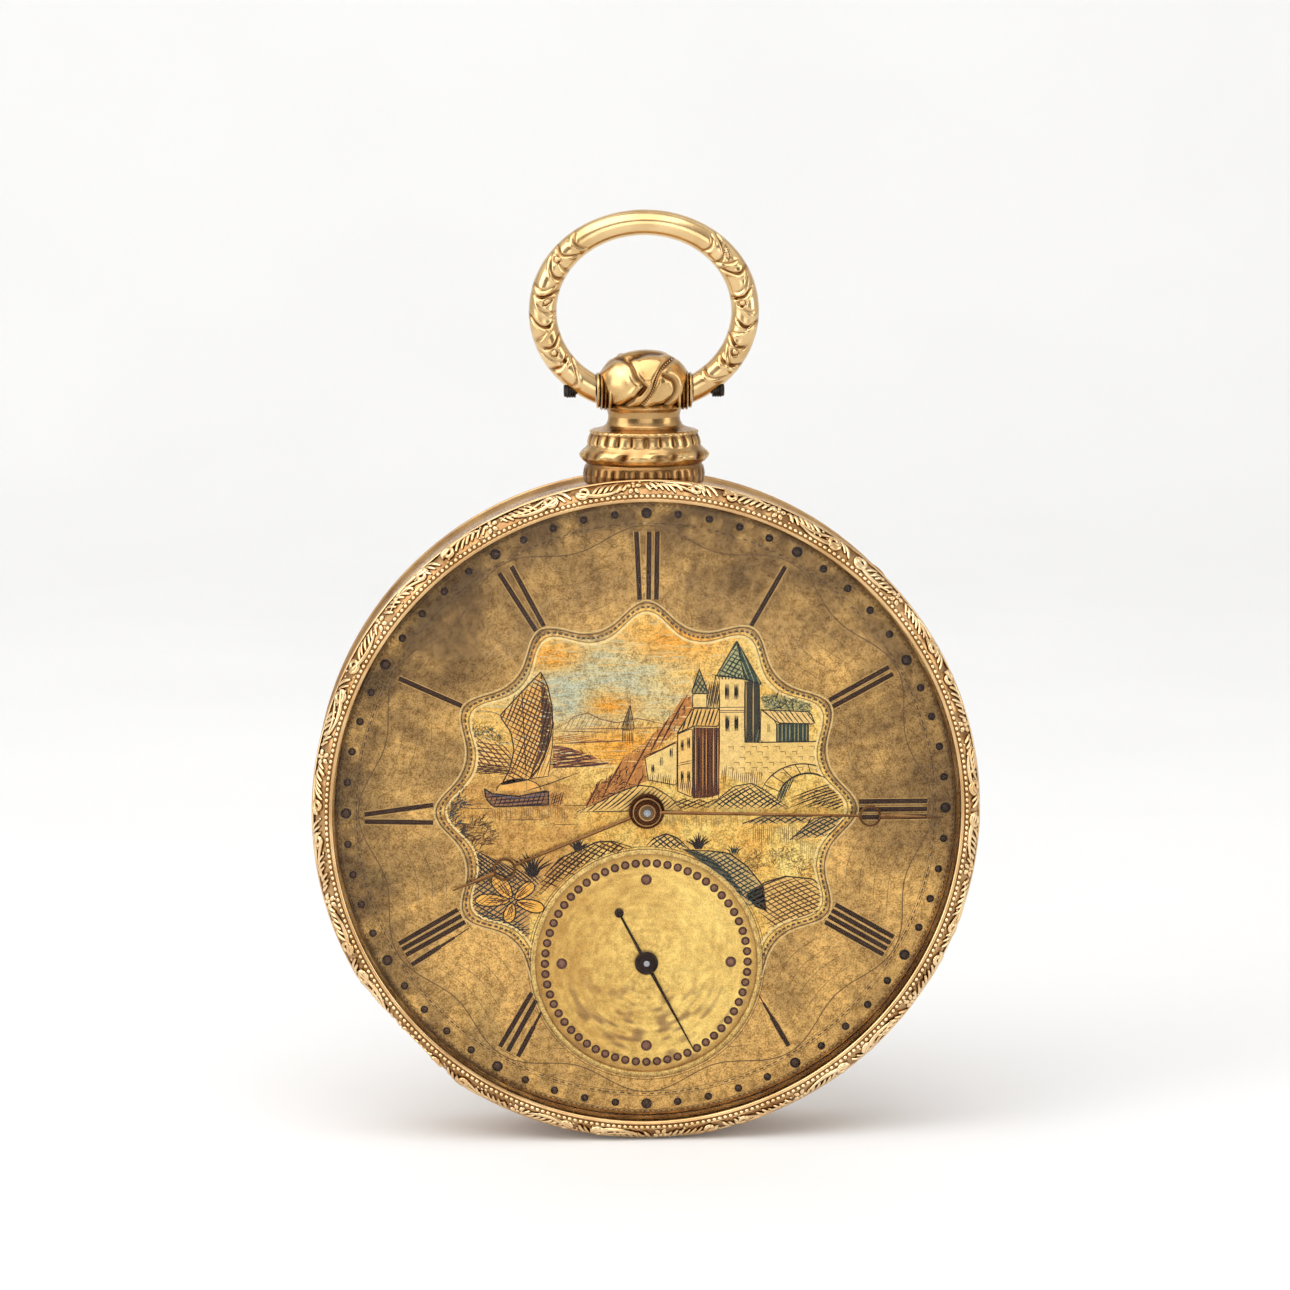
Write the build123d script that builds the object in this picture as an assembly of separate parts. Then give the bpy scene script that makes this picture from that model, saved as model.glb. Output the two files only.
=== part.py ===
"""Open face pocket watch with a key-wound lever movement.

Everything is drawn in a bench frame: the watch lies on its back, x towards 3 o'clock,
y towards 12 o'clock, z towards the reader of the dial. The origin is on the hands' axis,
at the dial side face of the main plate. save() stands the watch up, so that in the
written files the dial faces -Y and the pendant points to +Z. Units are millimetres.
"""

from build123d import *
import os
from math import atan2, cos, degrees, hypot, radians, sin, sqrt

# ---------------------------------------------------------------- driving dimensions
BAND_R = 22.0  # outside of the case band, between its two flanges
FLANGE_R, BACK_FLANGE_R = 22.38, 22.2
RIM_R = 22.5  # outside of the bezel
BACK_R = 22.25  # outside of the back cover
BORE_R = 19.75  # inside of the case band
DIAL_SEAT_R = 21.05
BAND_FRONT = 1.9
BAND_BACK = -4.5
LIP_IN, LIP_OUT, LIP_H = 21.15, 21.5, 0.3  # snap lip on each face of the band
JOINT_GAP = 0.03  # between the band and each closed cover
MID_Z = (BAND_FRONT + BAND_BACK) / 2

HINGE_DEG = 223.0  # where the covers hinge, counter-clockwise from 3 o'clock
HINGE_R = 21.6
HINGE_DEPTH = 0.8  # below each face of the band
KNUCKLE_R = 0.55
HINGE_PIN_R = 0.28
HINGE_HALF = 4.6
FLAT_R = 21.9  # the covers are cut flat over the hinge, this far from the centre
FLAT_HALF = 6.6
CUVETTE_HINGE = (20.5, -4.9)
CUVETTE_KNUCKLE_R = 0.35
CUVETTE_PIN_R = 0.16

PLATE_R = 19.65
PLATE_BACK = -1.6
PLATE_FRONT = 1.5
DIAL_R, DIAL_BACK, DIAL_FRONT = 20.95, 1.55, 1.95
SECONDS_Y = -10.5
SECONDS_WELL_R = 7.5
SECONDS_DISC_R = 7.85
SECONDS_FRONT = 1.75

BRIDGE_LOW, BRIDGE_TOP = -3.5, -4.6
FOOT_R = 1.5
SCREW_HEAD_R, SCREW_R = 0.8, 0.35
RUN = 0.02  # radial clearance of a running fit

# teeth and modules of the train
BARREL_TEETH, CENTRE_LEAVES, BARREL_MODULE = 80, 10, 0.21
CENTRE_TEETH, THIRD_LEAVES, CENTRE_MODULE = 64, 8, 0.165
THIRD_TEETH, FOURTH_LEAVES, THIRD_MODULE = 60, 8, 0.142
FOURTH_TEETH, ESCAPE_LEAVES, FOURTH_MODULE = 70, 7, 0.12
CANNON_LEAVES, MINUTE_TEETH, CANNON_MODULE = 12, 36, 0.14
MINUTE_LEAVES, HOUR_TEETH = 10, 40
ESCAPE_TEETH = 15

BARREL_DEG = 115.0
BALANCE_AT = (12.0, -33.0)  # distance and direction from the centre
BALANCE_R = 6.2
ESCAPE_R = 2.1
LEVER_LENGTH = 3.9  # pallet arbor to balance staff
STONE_DEG = 70.0  # each pallet stone, either side of the line to the escape arbor
MINUTE_WHEEL_DEG = 60.0

PENDANT_DEPTH = 0.75  # the pendant is this much shallower than it is wide
BOW_AXIS_Y = 28.08
BOW_CENTRE_Y, BOW_A, BOW_B, BOW_WIRE_R = 33.4, 6.87, 5.95, 0.85
BALL_Y, BALL_SEMI = 28.6, (3.1, 2.2, 2.3)

HOUR_HAND_DEG, MINUTE_HAND_DEG, SECONDS_HAND_DEG = 248.0, 91.5, 152.0  # clockwise from 12

DIAL_FEET = [(18.2, 35.0), (18.2, 160.0), (18.2, 232.0)]
CASE_SCREWS = [(18.6, 75.0), (18.6, 205.0)]


# ---------------------------------------------------------------- small tools
def polar(radius, angle):
    """The point at this distance and direction, in degrees counter-clockwise from 3 o'clock."""
    return (radius * cos(radians(angle)), radius * sin(radians(angle)))


def third_corner(p, q, from_p, from_q, side):
    """The point at the given distances from p and q, on the left of p to q for side 1."""
    dx, dy = q[0] - p[0], q[1] - p[1]
    d = hypot(dx, dy)
    along = (from_p**2 - from_q**2 + d**2) / (2 * d)
    off = side * sqrt(max(0.0, from_p**2 - along**2))
    return (p[0] + (dx * along - dy * off) / d, p[1] + (dy * along + dx * off) / d)


def save(name, *shapes):
    """Stands the watch up and writes one node."""
    solids = [Rot(90, 0, 0) * s for shape in shapes for s in shape.solids()]
    export_step(Compound(children=solids) if len(solids) > 1 else solids[0], f"parts/{name}.step")


def turned(*points):
    """A solid of revolution about z from an outline of (radius, z) points."""
    return revolve(Plane.XZ * make_face(Polyline(*points, close=True)), Axis.Z)


def disc(radius, low, high, at=(0, 0)):
    return Pos(at[0], at[1], min(low, high)) * extrude(Circle(radius), abs(high - low))


def tube(inner, outer, low, high, at=(0, 0)):
    return Pos(at[0], at[1], min(low, high)) * extrude(Circle(outer) - Circle(inner), abs(high - low))


def slab(sketch, low, high, at=(0, 0)):
    return Pos(at[0], at[1], min(low, high)) * extrude(sketch, abs(high - low))


def bar(*ends):
    """A flat bar whose outline wraps circles given as (point, radius)."""
    edges = []
    for (x, y), r in ends:
        edges += (Pos(x, y) * Circle(r)).edges()
    return make_hull(edges)


def along_hinge(deg, u, z):
    """A location whose z runs along the hinge line and whose x points outwards."""
    x, y = polar(u, deg)
    outward = Vector(*polar(1, deg), 0)
    return Plane(origin=(x, y, z), x_dir=outward, z_dir=Vector(0, 0, 1).cross(outward)).location


def hinge_rod(radius, u, z, start, end):
    """A round rod along the hinge line, from start to end measured from the hinge's middle."""
    return along_hinge(HINGE_DEG, u, z) * Pos(0, 0, (start + end) / 2) * Cylinder(radius, end - start)


def hinge_block(u0, u1, z0, z1, half, middle=0.0):
    """A block by its outward distances, heights and half length along the hinge line."""
    block = Pos((u0 + u1) / 2, middle, (z0 + z1) / 2) * Box(u1 - u0, 2 * half, z1 - z0)
    return Rot(0, 0, HINGE_DEG) * block


# ---------------------------------------------------------------- gears
def gear(teeth, module, phase=0.0, share=0.44, addendum=0.95, dedendum=1.25):
    """A gear outline of watch form: radial flanks below the pitch line, pointed arches above."""
    pitch = teeth * module / 2
    step = 360 / teeth
    half = share * step / 2
    form = [
        (pitch - dedendum * module, -half),
        (pitch, -half),
        (pitch + 0.65 * addendum * module, -0.62 * half),
        (pitch + addendum * module, -0.2 * half),
        (pitch + addendum * module, 0.2 * half),
        (pitch + 0.65 * addendum * module, 0.62 * half),
        (pitch, half),
        (pitch - dedendum * module, half),
    ]
    points = [polar(r, phase + step * k + a) for k in range(teeth) for r, a in form]
    return make_face(Polyline(*points, close=True))


def mesh_phase(driver_teeth, driver_phase, driven_teeth, direction):
    """The phase that puts a gap of the driven gear over a tooth of the driver."""
    turned_by = (driver_teeth / driven_teeth) * (driver_phase - direction)
    return direction + 180 - turned_by + 180 / driven_teeth


def direction_of(p, q):
    return degrees(atan2(q[1] - p[1], q[0] - p[0]))


def crossed(outline, rim_r, hub_r, arms, arm_width):
    """Cuts a wheel blank out between its rim, hub and arms."""
    windows = Circle(rim_r) - Circle(hub_r)
    for k in range(arms):
        windows -= Rot(0, 0, 360 * k / arms) * Pos(rim_r / 2, 0) * Rectangle(rim_r * 1.1, arm_width)
    return outline - windows


def staff(at, *steps):
    """An arbor turned to (radius, low, high) steps."""
    solid = None
    for radius, low, high in steps:
        step = disc(radius, low, high, at)
        solid = step if solid is None else solid + step
    return solid


# ---------------------------------------------------------------- where the arbors stand
BARREL = polar((BARREL_TEETH + CENTRE_LEAVES) * BARREL_MODULE / 2, BARREL_DEG)
FOURTH = (0.0, SECONDS_Y)
THIRD = third_corner(
    (0, 0),
    FOURTH,
    (CENTRE_TEETH + THIRD_LEAVES) * CENTRE_MODULE / 2,
    (THIRD_TEETH + FOURTH_LEAVES) * THIRD_MODULE / 2,
    -1,
)
BALANCE = polar(*BALANCE_AT)
PALLET_SPAN = ESCAPE_R / cos(radians(30))  # escape arbor to pallet arbor
ESCAPE = third_corner(
    FOURTH,
    BALANCE,
    (FOURTH_TEETH + ESCAPE_LEAVES) * FOURTH_MODULE / 2,
    PALLET_SPAN + LEVER_LENGTH,
    -1,
)
LEVER_DEG = direction_of(ESCAPE, BALANCE)
PALLET = (
    ESCAPE[0] + PALLET_SPAN * cos(radians(LEVER_DEG)),
    ESCAPE[1] + PALLET_SPAN * sin(radians(LEVER_DEG)),
)
MINUTE_ARBOR = polar((CANNON_LEAVES + MINUTE_TEETH) * CANNON_MODULE / 2, MINUTE_WHEEL_DEG)
HOUR_MODULE = CANNON_MODULE * (CANNON_LEAVES + MINUTE_TEETH) / (MINUTE_LEAVES + HOUR_TEETH)

# bridge feet, each with one screw
BARREL_FEET = [(-15.2, 1.2), (8.5, 14.2)]
CENTRE_FOOT = (-14.8, -5.0)
THIRD_FOOT = (-12.6, -11.2)
FOURTH_FOOT = (-5.2, -16.4)
ESCAPE_FOOT = (4.0, -16.8)
PALLET_FOOT = (9.3, -14.6)
COCK_FOOT = (17.0, 1.4)
PALLET_BRIDGE_LOW, PALLET_BRIDGE_TOP = -2.15, -2.55


# ---------------------------------------------------------------- case
BAND_SIDE = [
    (BACK_FLANGE_R, BAND_BACK),
    (BACK_FLANGE_R, BAND_BACK + 0.3),
    (BACK_FLANGE_R - 0.1, BAND_BACK + 0.5),
    (BAND_R, BAND_BACK + 0.75),
    (BAND_R, BAND_FRONT - 0.75),
    (FLANGE_R - 0.2, BAND_FRONT - 0.5),
    (FLANGE_R, BAND_FRONT - 0.3),
    (FLANGE_R, BAND_FRONT),
]


def case_band():
    """The middle of the case: the ring that holds the movement and every hinge."""
    ring = turned(
        *BAND_SIDE,
        (LIP_OUT, BAND_FRONT),
        (LIP_OUT, BAND_FRONT + LIP_H),
        (LIP_IN, BAND_FRONT + LIP_H),
        (LIP_IN, BAND_FRONT),
        (DIAL_SEAT_R, BAND_FRONT),
        (DIAL_SEAT_R, PLATE_FRONT),
        (BORE_R, PLATE_FRONT),
        (BORE_R, PLATE_BACK - 0.01),
        (19.1, PLATE_BACK - 0.01),
        (19.1, -2.3),
        (BORE_R, -2.3),
        (BORE_R, -4.0),
        (DIAL_SEAT_R, -4.0),
        (DIAL_SEAT_R, BAND_BACK),
        (LIP_IN, BAND_BACK),
        (LIP_IN, BAND_BACK - LIP_H),
        (LIP_OUT, BAND_BACK - LIP_H),
        (LIP_OUT, BAND_BACK),
    )
    fixed = [(1.65, HINGE_HALF), (-HINGE_HALF, -1.65)]
    for face, outward, moving_half in ((BAND_FRONT, 1, 1.65), (BAND_BACK, -1, 1.65)):
        axis_z = face - outward * HINGE_DEPTH
        low, high = sorted((axis_z - outward * 0.8, face + outward * (LIP_H + 0.1)))
        ring -= hinge_block(HINGE_R - 0.05, RIM_R + 0.5, low, high, FLAT_HALF)
        low, high = sorted((face, face + outward * (LIP_H + 0.1)))
        ring -= hinge_block(18.0, RIM_R + 0.5, low, high, FLAT_HALF)
        ring -= hinge_rod(KNUCKLE_R + 0.06, HINGE_R, axis_z, -moving_half, moving_half)
        low, high = sorted((axis_z, face + outward * 0.1))
        ring -= hinge_block(21.2, RIM_R, low, high, moving_half)
        for start, end in fixed:
            ring += hinge_rod(KNUCKLE_R, HINGE_R, axis_z, start, end)
        ring -= hinge_rod(HINGE_PIN_R, HINGE_R, axis_z, -HINGE_HALF, HINGE_HALF)
    u, z = CUVETTE_HINGE
    for start, end in ((1.55, 3.0), (-3.0, -1.55)):
        ring += hinge_block(u - 0.3, u + 0.3, z, BAND_BACK + 0.55, (end - start) / 2, (start + end) / 2)
        ring += hinge_rod(CUVETTE_KNUCKLE_R, u, z, start, end)
    ring -= hinge_rod(CUVETTE_PIN_R, u, z, -3.0, 3.0)
    return ring


def hinge_pins():
    half = HINGE_HALF
    bezel_pin = hinge_rod(HINGE_PIN_R, HINGE_R, BAND_FRONT - HINGE_DEPTH, -half, half)
    back_pin = hinge_rod(HINGE_PIN_R, HINGE_R, BAND_BACK + HINGE_DEPTH, -half, half)
    cuvette_pin = hinge_rod(CUVETTE_PIN_R, *CUVETTE_HINGE, -3.0, 3.0)
    return bezel_pin, back_pin, cuvette_pin


def cover_knuckle(face, outward, reach):
    """The middle knuckle of a cover's hinge, with the strap that carries it."""
    axis_z = face - outward * HINGE_DEPTH
    low, high = sorted((axis_z, face + outward * reach))
    knuckle = hinge_rod(KNUCKLE_R, HINGE_R, axis_z, -1.6, 1.6) + hinge_block(21.3, 21.7, low, high, 1.6)
    return knuckle - hinge_rod(HINGE_PIN_R + RUN, HINGE_R, axis_z, -2, 2)


def bezel():
    """The hinged ring that holds the crystal."""
    base = BAND_FRONT + JOINT_GAP
    ring = turned(
        (LIP_OUT + 0.1, base),
        (RIM_R - 0.1, base),
        (RIM_R, base + 0.12),
        (RIM_R, base + 0.32),
        (22.3, 2.75),
        (22.0, 3.15),
        (21.75, 3.34),
        (21.45, 3.4),
        (21.12, 3.35),
        (21.1, 3.15),
        (21.37, 3.15),
        (21.37, 2.75),
        (21.1, 2.75),
        (21.1, BAND_FRONT + LIP_H + 0.06),
        (LIP_OUT + 0.1, BAND_FRONT + LIP_H + 0.06),
    )
    ring -= hinge_block(FLAT_R, RIM_R + 1, 1, 4, FLAT_HALF + 2)
    return ring + cover_knuckle(BAND_FRONT, 1, 0.15)


def crystal():
    """The low domed watch glass, with a bevelled edge that sits in the bezel's groove."""
    rise, edge = 1.0, 20.9
    dome_r = (edge**2 + rise**2) / (2 * rise)
    outer = Pos(0, 0, 3.15 + rise - dome_r) * Sphere(dome_r)
    inner = Pos(0, 0, 3.5 - dome_r - 0.1) * Sphere(dome_r)
    rim = turned((0, 2.8), (21.35, 2.8), (21.35, 2.95), (20.9, 3.15), (20.9, 5), (0, 5))
    return (rim & outer) - inner


def back_cover():
    """The hinged outer back: flat in the middle, rolled over at the edge."""
    base = BAND_BACK - JOINT_GAP
    outline = [
        Line((LIP_OUT + 0.1, base), (BACK_R - 0.1, base)),
        Line((BACK_R - 0.1, base), (BACK_R, base - 0.12)),
        Line((BACK_R, base - 0.12), (BACK_R, base - 0.4)),
        ThreePointArc((BACK_R, base - 0.4), (21.4, -5.75), (19.5, -6.2)),
        Line((19.5, -6.2), (17.5, -6.35)),
        Line((17.5, -6.35), (0, -6.35)),
        Line((0, -6.35), (0, -5.95)),
        Line((0, -5.95), (19.4, -5.85)),
        ThreePointArc((19.4, -5.85), (20.75, -5.55), (21.25, -4.95)),
        Line((21.25, -4.95), (LIP_OUT + 0.1, BAND_BACK - LIP_H - 0.06)),
        Line((LIP_OUT + 0.1, BAND_BACK - LIP_H - 0.06), (LIP_OUT + 0.1, base)),
    ]
    shell = revolve(Plane.XZ * make_face(outline), Axis.Z)
    shell -= hinge_block(FLAT_R, RIM_R + 1, -6.5, -4, FLAT_HALF + 2)
    lip = Pos(*polar(BACK_R - 2.0, HINGE_DEG - 180), base - 0.45) * extrude(Circle(2.1), 0.35)
    lip -= disc(21.9, -6, -4)
    return shell + lip + cover_knuckle(BAND_BACK, -1, 0.2)


def cuvette():
    """The inner dust cover, with holes for the winding and the setting key."""
    u, z = CUVETTE_HINGE
    shell = turned(
        (20.0, -4.03),
        (20.95, -4.03),
        (20.95, -4.7),
        (20.3, -5.55),
        (0, -5.55),
        (0, -5.25),
        (20.0, -5.25),
    )
    shell -= hinge_block(20.05, 22, -4.95, -3.5, 3.1)
    shell -= hinge_block(20.05, 22, -6, -3.5, 3.1)
    shell += hinge_block(19.8, u, -5.55, -5.2, 1.5) + hinge_block(20.0, u + 0.1, -5.3, z, 1.5)
    shell += hinge_rod(CUVETTE_KNUCKLE_R, u, z, -1.5, 1.5)
    shell -= hinge_rod(CUVETTE_PIN_R + RUN, u, z, -2, 2)
    for at in (BARREL, (0, 0)):
        shell -= disc(1.5, -6, -5, at)
    return shell


def pendant():
    """The hollow neck on top of the band, with gadrooned collars and the ball that the bow turns on."""
    half_outline = [
        (0, 21.2),
        (4.0, 21.2),
        (4.08, 22.55),
        (3.88, 23.2),
        (4.25, 23.6),
        (4.3, 23.85),
        (4.0, 24.2),
        (3.8, 24.4),
        (3.65, 25.15),
        (3.3, 25.45),
        (2.7, 25.65),
        (2.45, 26.0),
        (2.42, 26.55),
        (2.55, 26.95),
        (0, 26.95),
    ]
    neck = revolve(make_face(Polyline(*half_outline, close=True)), Axis.Y)
    ball = Pos(0, BALL_Y, 0) * scale(Sphere(1), by=(BALL_SEMI[0], BALL_SEMI[1], BALL_SEMI[2] / PENDANT_DEPTH))
    stem = scale(neck + ball, by=(1, 1, PENDANT_DEPTH))
    boss = Pos(0, BOW_AXIS_Y, 0) * Rot(0, 90, 0) * Cylinder(1.22, 6.4)
    stem = stem + boss
    stem -= Pos(0, BOW_AXIS_Y, 0) * Rot(0, 90, 0) * (
        Pos(0, 0, 2.6) * Cylinder(0.3 + RUN, 2.4) + Pos(0, 0, -2.6) * Cylinder(0.3 + RUN, 2.4)
    )
    side = turned((0, BAND_BACK), *BAND_SIDE, (0, BAND_FRONT))
    return Pos(0, 0, MID_Z) * stem - side


def bow():
    """The oval ring. Its two ends are pierced by the screws that it swings on."""
    path = Pos(0, BOW_CENTRE_Y, 0) * EllipticalCenterArc((0, 0), BOW_A, BOW_B, -66, arc_size=312)
    ring = sweep(Plane(origin=path @ 0, z_dir=path % 0) * Circle(BOW_WIRE_R), path)
    ring -= Pos(0, BOW_AXIS_Y, 0) * Box(6.6, 5, 4)
    for side in (1, -1):
        ring -= Pos(side * 4.5, BOW_AXIS_Y, 0) * Rot(0, 90, 0) * Cylinder(0.3, 4)
        ring -= Pos(side * (4.55 + 1.5), BOW_AXIS_Y, 0) * Rot(0, 90, 0) * Cylinder(0.5, 3)
    return Pos(0, 0, MID_Z) * ring


def bow_screws():
    """Two slotted screws that pass through the bow's ends into the ball."""
    screws = []
    for side in (1, -1):
        screw = Pos(side * 3.2, 0, 0) * Rot(0, 90, 0) * Cylinder(0.3, 2.7)
        screw += Pos(side * 4.97, 0, 0) * Rot(0, 90, 0) * Cylinder(0.5, 0.84)
        screw -= Pos(side * 5.35, 0, 0) * Rot(35, 0, 0) * Box(0.3, 2, 0.18)
        screws.append(Pos(0, BOW_AXIS_Y, MID_Z) * screw)
    return screws


# ---------------------------------------------------------------- dial and hands
def dial():
    """The dial plate, with the seconds well cut through it and three soldered feet."""
    plate = disc(DIAL_R, DIAL_BACK, DIAL_FRONT)
    plate -= disc(0.85, 1, 3)
    plate -= disc(SECONDS_WELL_R, 1, 3, FOURTH)
    plate -= disc(SECONDS_DISC_R, 1, SECONDS_FRONT, FOURTH)
    for radius, angle in DIAL_FEET:
        plate += disc(0.45, PLATE_BACK - 0.6, DIAL_BACK, polar(radius, angle))
        plate -= Pos(*polar(radius, angle), PLATE_BACK - 0.3) * Rot(0, 0, angle) * Rot(0, 90, 0) * Cylinder(0.14, 1.4)
    return plate


def seconds_dial():
    return tube(0.5, SECONDS_DISC_R, 1.45, SECONDS_FRONT, FOURTH)


def dial_foot_pins():
    pins = []
    for radius, angle in DIAL_FEET:
        here = Pos(*polar(radius, angle), PLATE_BACK - 0.3)
        pins.append(here * Rot(0, 0, angle) * Rot(0, 90, 0) * Cylinder(0.14, 1.4))
    return pins


def moon_hand(length, ring_at, ring_r, ring_width, hub_r, bore_r, low, high):
    """A slim hand with an open ring before its tip, drawn along x."""
    joint = ring_at - ring_r + ring_width / 2
    shaft = Polyline((0, -0.16), (joint, -0.09), (joint, 0.09), (0, 0.16), close=True)
    tip_half = 0.3
    tip_at = ring_at + ring_r + 0.25
    tip = Polyline(
        (ring_at + ring_r - ring_width / 2, -0.12),
        (tip_at, -tip_half),
        (tip_at + (length - tip_at) * 0.45, -0.11),
        (length, -0.035),
        (length, 0.035),
        (tip_at + (length - tip_at) * 0.45, 0.11),
        (tip_at, tip_half),
        (ring_at + ring_r - ring_width / 2, 0.12),
        close=True,
    )
    flat = Circle(hub_r) + make_face(shaft) + Pos(ring_at, 0) * Circle(ring_r) + make_face(tip)
    flat -= Pos(ring_at, 0) * Circle(ring_r - ring_width)
    return slab(flat - Circle(bore_r), low, high)


def hour_hand():
    hand = moon_hand(14.1, 10.35, 0.78, 0.17, 1.2, 0.72, 2.2, 2.34)
    return Rot(0, 0, 90 - HOUR_HAND_DEG) * hand


def minute_hand():
    hand = moon_hand(20.0, 15.05, 0.74, 0.15, 0.97, 0.48, 2.6, 2.72)
    hand += tube(0.48, 0.75, 2.72, 2.86)
    return Rot(0, 0, 90 - MINUTE_HAND_DEG) * hand


def seconds_hand():
    """The slim seconds hand, with a ball counterpoise."""
    needle = Polyline((-3.9, -0.08), (0, -0.14), (6.83, -0.04), (6.83, 0.04), (0, 0.14), (-3.9, 0.08), close=True)
    flat = make_face(needle) + Circle(0.79) + Pos(-3.93, 0) * Circle(0.31) - Circle(0.2)
    hand = slab(flat, 1.92, 2.02)
    return Pos(*FOURTH, 0) * Rot(0, 0, 90 - SECONDS_HAND_DEG) * hand


# ---------------------------------------------------------------- motion work under the dial
def cannon_pinion():
    leaves = slab(gear(CANNON_LEAVES, CANNON_MODULE, share=0.4), 0.12, 0.5)
    return leaves + disc(0.48, 0.12, 2.9) - disc(0.25, 0, 3)


def minute_wheel():
    phase = mesh_phase(CANNON_LEAVES, 0, MINUTE_TEETH, MINUTE_WHEEL_DEG)
    wheel = crossed(gear(MINUTE_TEETH, CANNON_MODULE, phase), 1.95, 0.85, 4, 0.35)
    wheel = slab(wheel, 0.2, 0.42) + slab(gear(MINUTE_LEAVES, HOUR_MODULE, share=0.4), 0.42, 1.0)
    return Pos(*MINUTE_ARBOR, 0) * (wheel - disc(0.3 + RUN, 0, 2))


def hour_wheel():
    phase = mesh_phase(MINUTE_LEAVES, 0, HOUR_TEETH, MINUTE_WHEEL_DEG + 180)
    wheel = slab(gear(HOUR_TEETH, HOUR_MODULE, phase), 0.62, 0.88)
    return wheel + disc(0.72, 0.62, 2.36) - disc(0.48 + RUN, 0, 3)


def minute_post():
    return staff(MINUTE_ARBOR, (0.3, -0.8, 1.05), (0.45, 1.05, 1.2))


# ---------------------------------------------------------------- movement
def main_plate():
    """The plate that everything turns in: hollow under the dial, sunk for the barrel."""
    plate = disc(PLATE_R, PLATE_BACK, PLATE_FRONT) - disc(18.9, 0, 2)
    plate -= disc(8.05, PLATE_BACK - 1, -0.62, BARREL)
    for at, r in ((BARREL, 0.42), ((0, 0), 0.45 + RUN), (MINUTE_ARBOR, 0.3), (FOURTH, 0.3), (THIRD, 0.12)):
        plate -= disc(r, -3, 2, at)
    for at in (ESCAPE, PALLET, BALANCE):
        plate -= disc(0.12, -3, 2, at)
    for radius, angle in DIAL_FEET:
        plate -= disc(0.48, -3, 2, polar(radius, angle))
    for at in BARREL_FEET + [CENTRE_FOOT, THIRD_FOOT, FOURTH_FOOT, ESCAPE_FOOT, PALLET_FOOT, COCK_FOOT]:
        plate -= disc(SCREW_R, PLATE_BACK - 1, -0.5, at)
    for radius, angle in CASE_SCREWS:
        plate -= disc(SCREW_R, PLATE_BACK - 1, -0.5, polar(radius, angle))
    return plate


def slotted_screw(at, head_top, head_low, tip, head_r=SCREW_HEAD_R):
    """A cheese-head screw, head to the back of the watch."""
    screw = disc(head_r, head_top, head_low, at) + disc(SCREW_R, head_low, tip, at)
    return screw - Pos(at[0], at[1], head_top) * Rot(0, 0, 40) * Box(4, 0.2, 0.3)


def bridge(pivot, feet, pivot_r, end_r=1.5, jewel_r=0.0, bore_r=0.0, low=BRIDGE_LOW, top=BRIDGE_TOP):
    """A bar over the train on one or two feet, bored for its jewel or bearing and its screws."""
    ends = [(pivot, end_r)] + [(foot, FOOT_R) for foot in feet]
    body = slab(bar(*ends), low, top)
    for foot in feet:
        body += disc(FOOT_R, low, PLATE_BACK, foot)
        body -= disc(SCREW_R, PLATE_BACK + 1, top - 1, foot)
        body -= disc(SCREW_HEAD_R + 0.05, top + 0.35, top - 1, foot)
    if jewel_r:
        body -= disc(jewel_r, low + 1, low - 0.35, pivot)
        body -= disc(pivot_r, low, top - 1, pivot)
    else:
        body -= disc(bore_r, low + 1, top - 1, pivot)
    return body


def bridge_screws():
    feet = BARREL_FEET + [CENTRE_FOOT, THIRD_FOOT, FOURTH_FOOT, ESCAPE_FOOT, COCK_FOOT]
    screws = [slotted_screw(at, BRIDGE_TOP, BRIDGE_TOP + 0.35, -0.55) for at in feet]
    return screws + [slotted_screw(PALLET_FOOT, PALLET_BRIDGE_TOP, PALLET_BRIDGE_TOP + 0.2, -0.55, 0.7)]


def barrel():
    """The going barrel: a toothed drum, open on the bridge side."""
    phase = 0.0
    drum = slab(gear(BARREL_TEETH, BARREL_MODULE, phase), -1.75, -2.25) + disc(7.9, -0.7, -2.7)
    return Pos(*BARREL, 0) * (drum - disc(7.5, -0.95, -3) - disc(0.7 + RUN, 0, -3))


def barrel_cover():
    return tube(0.7 + RUN, 7.8, -2.7, -2.9, BARREL)


def barrel_arbor():
    """The arbor that the spring winds on, with the square for the key."""
    arbor = staff(BARREL, (0.4, -0.1, -0.66), (0.7, -0.66, -4.6), (1.5, -1.0, -2.65))
    return arbor + Pos(*BARREL, -4.925) * Box(0.98, 0.98, 0.65)


def spiral(inner, outer, turns, thickness, low, high, at):
    """A flat spiral spring as one solid strip."""
    steps = int(turns * 18)

    def edge(offset):
        points = []
        for k in range(steps + 1):
            share = k / steps
            points.append(polar(inner + (outer - inner) * share + offset, 360 * turns * share))
        return points

    one, two = edge(-thickness / 2), edge(thickness / 2)
    outline = [Spline(*one), Line(one[-1], two[-1]), Spline(*two[::-1]), Line(two[0], one[0])]
    return slab(make_face(outline), low, high, at)


def mainspring():
    return spiral(1.75, 7.3, 9, 0.2, -1.05, -2.6, BARREL)


def ratchet_wheel():
    """Saw teeth that the click holds."""
    teeth, root, tip = 24, 2.3, 2.65
    points = []
    for k in range(teeth):
        points += [polar(root, 360 * k / teeth), polar(tip, 360 * (k + 0.92) / teeth)]
    wheel = make_face(Polyline(*points, close=True)) - Rectangle(1.0, 1.0)
    return slab(wheel, BRIDGE_TOP - 0.03, BRIDGE_TOP - 0.33, BARREL)


CLICK_AT = (BARREL[0] + 3.55, BARREL[1] + 1.85)


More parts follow.
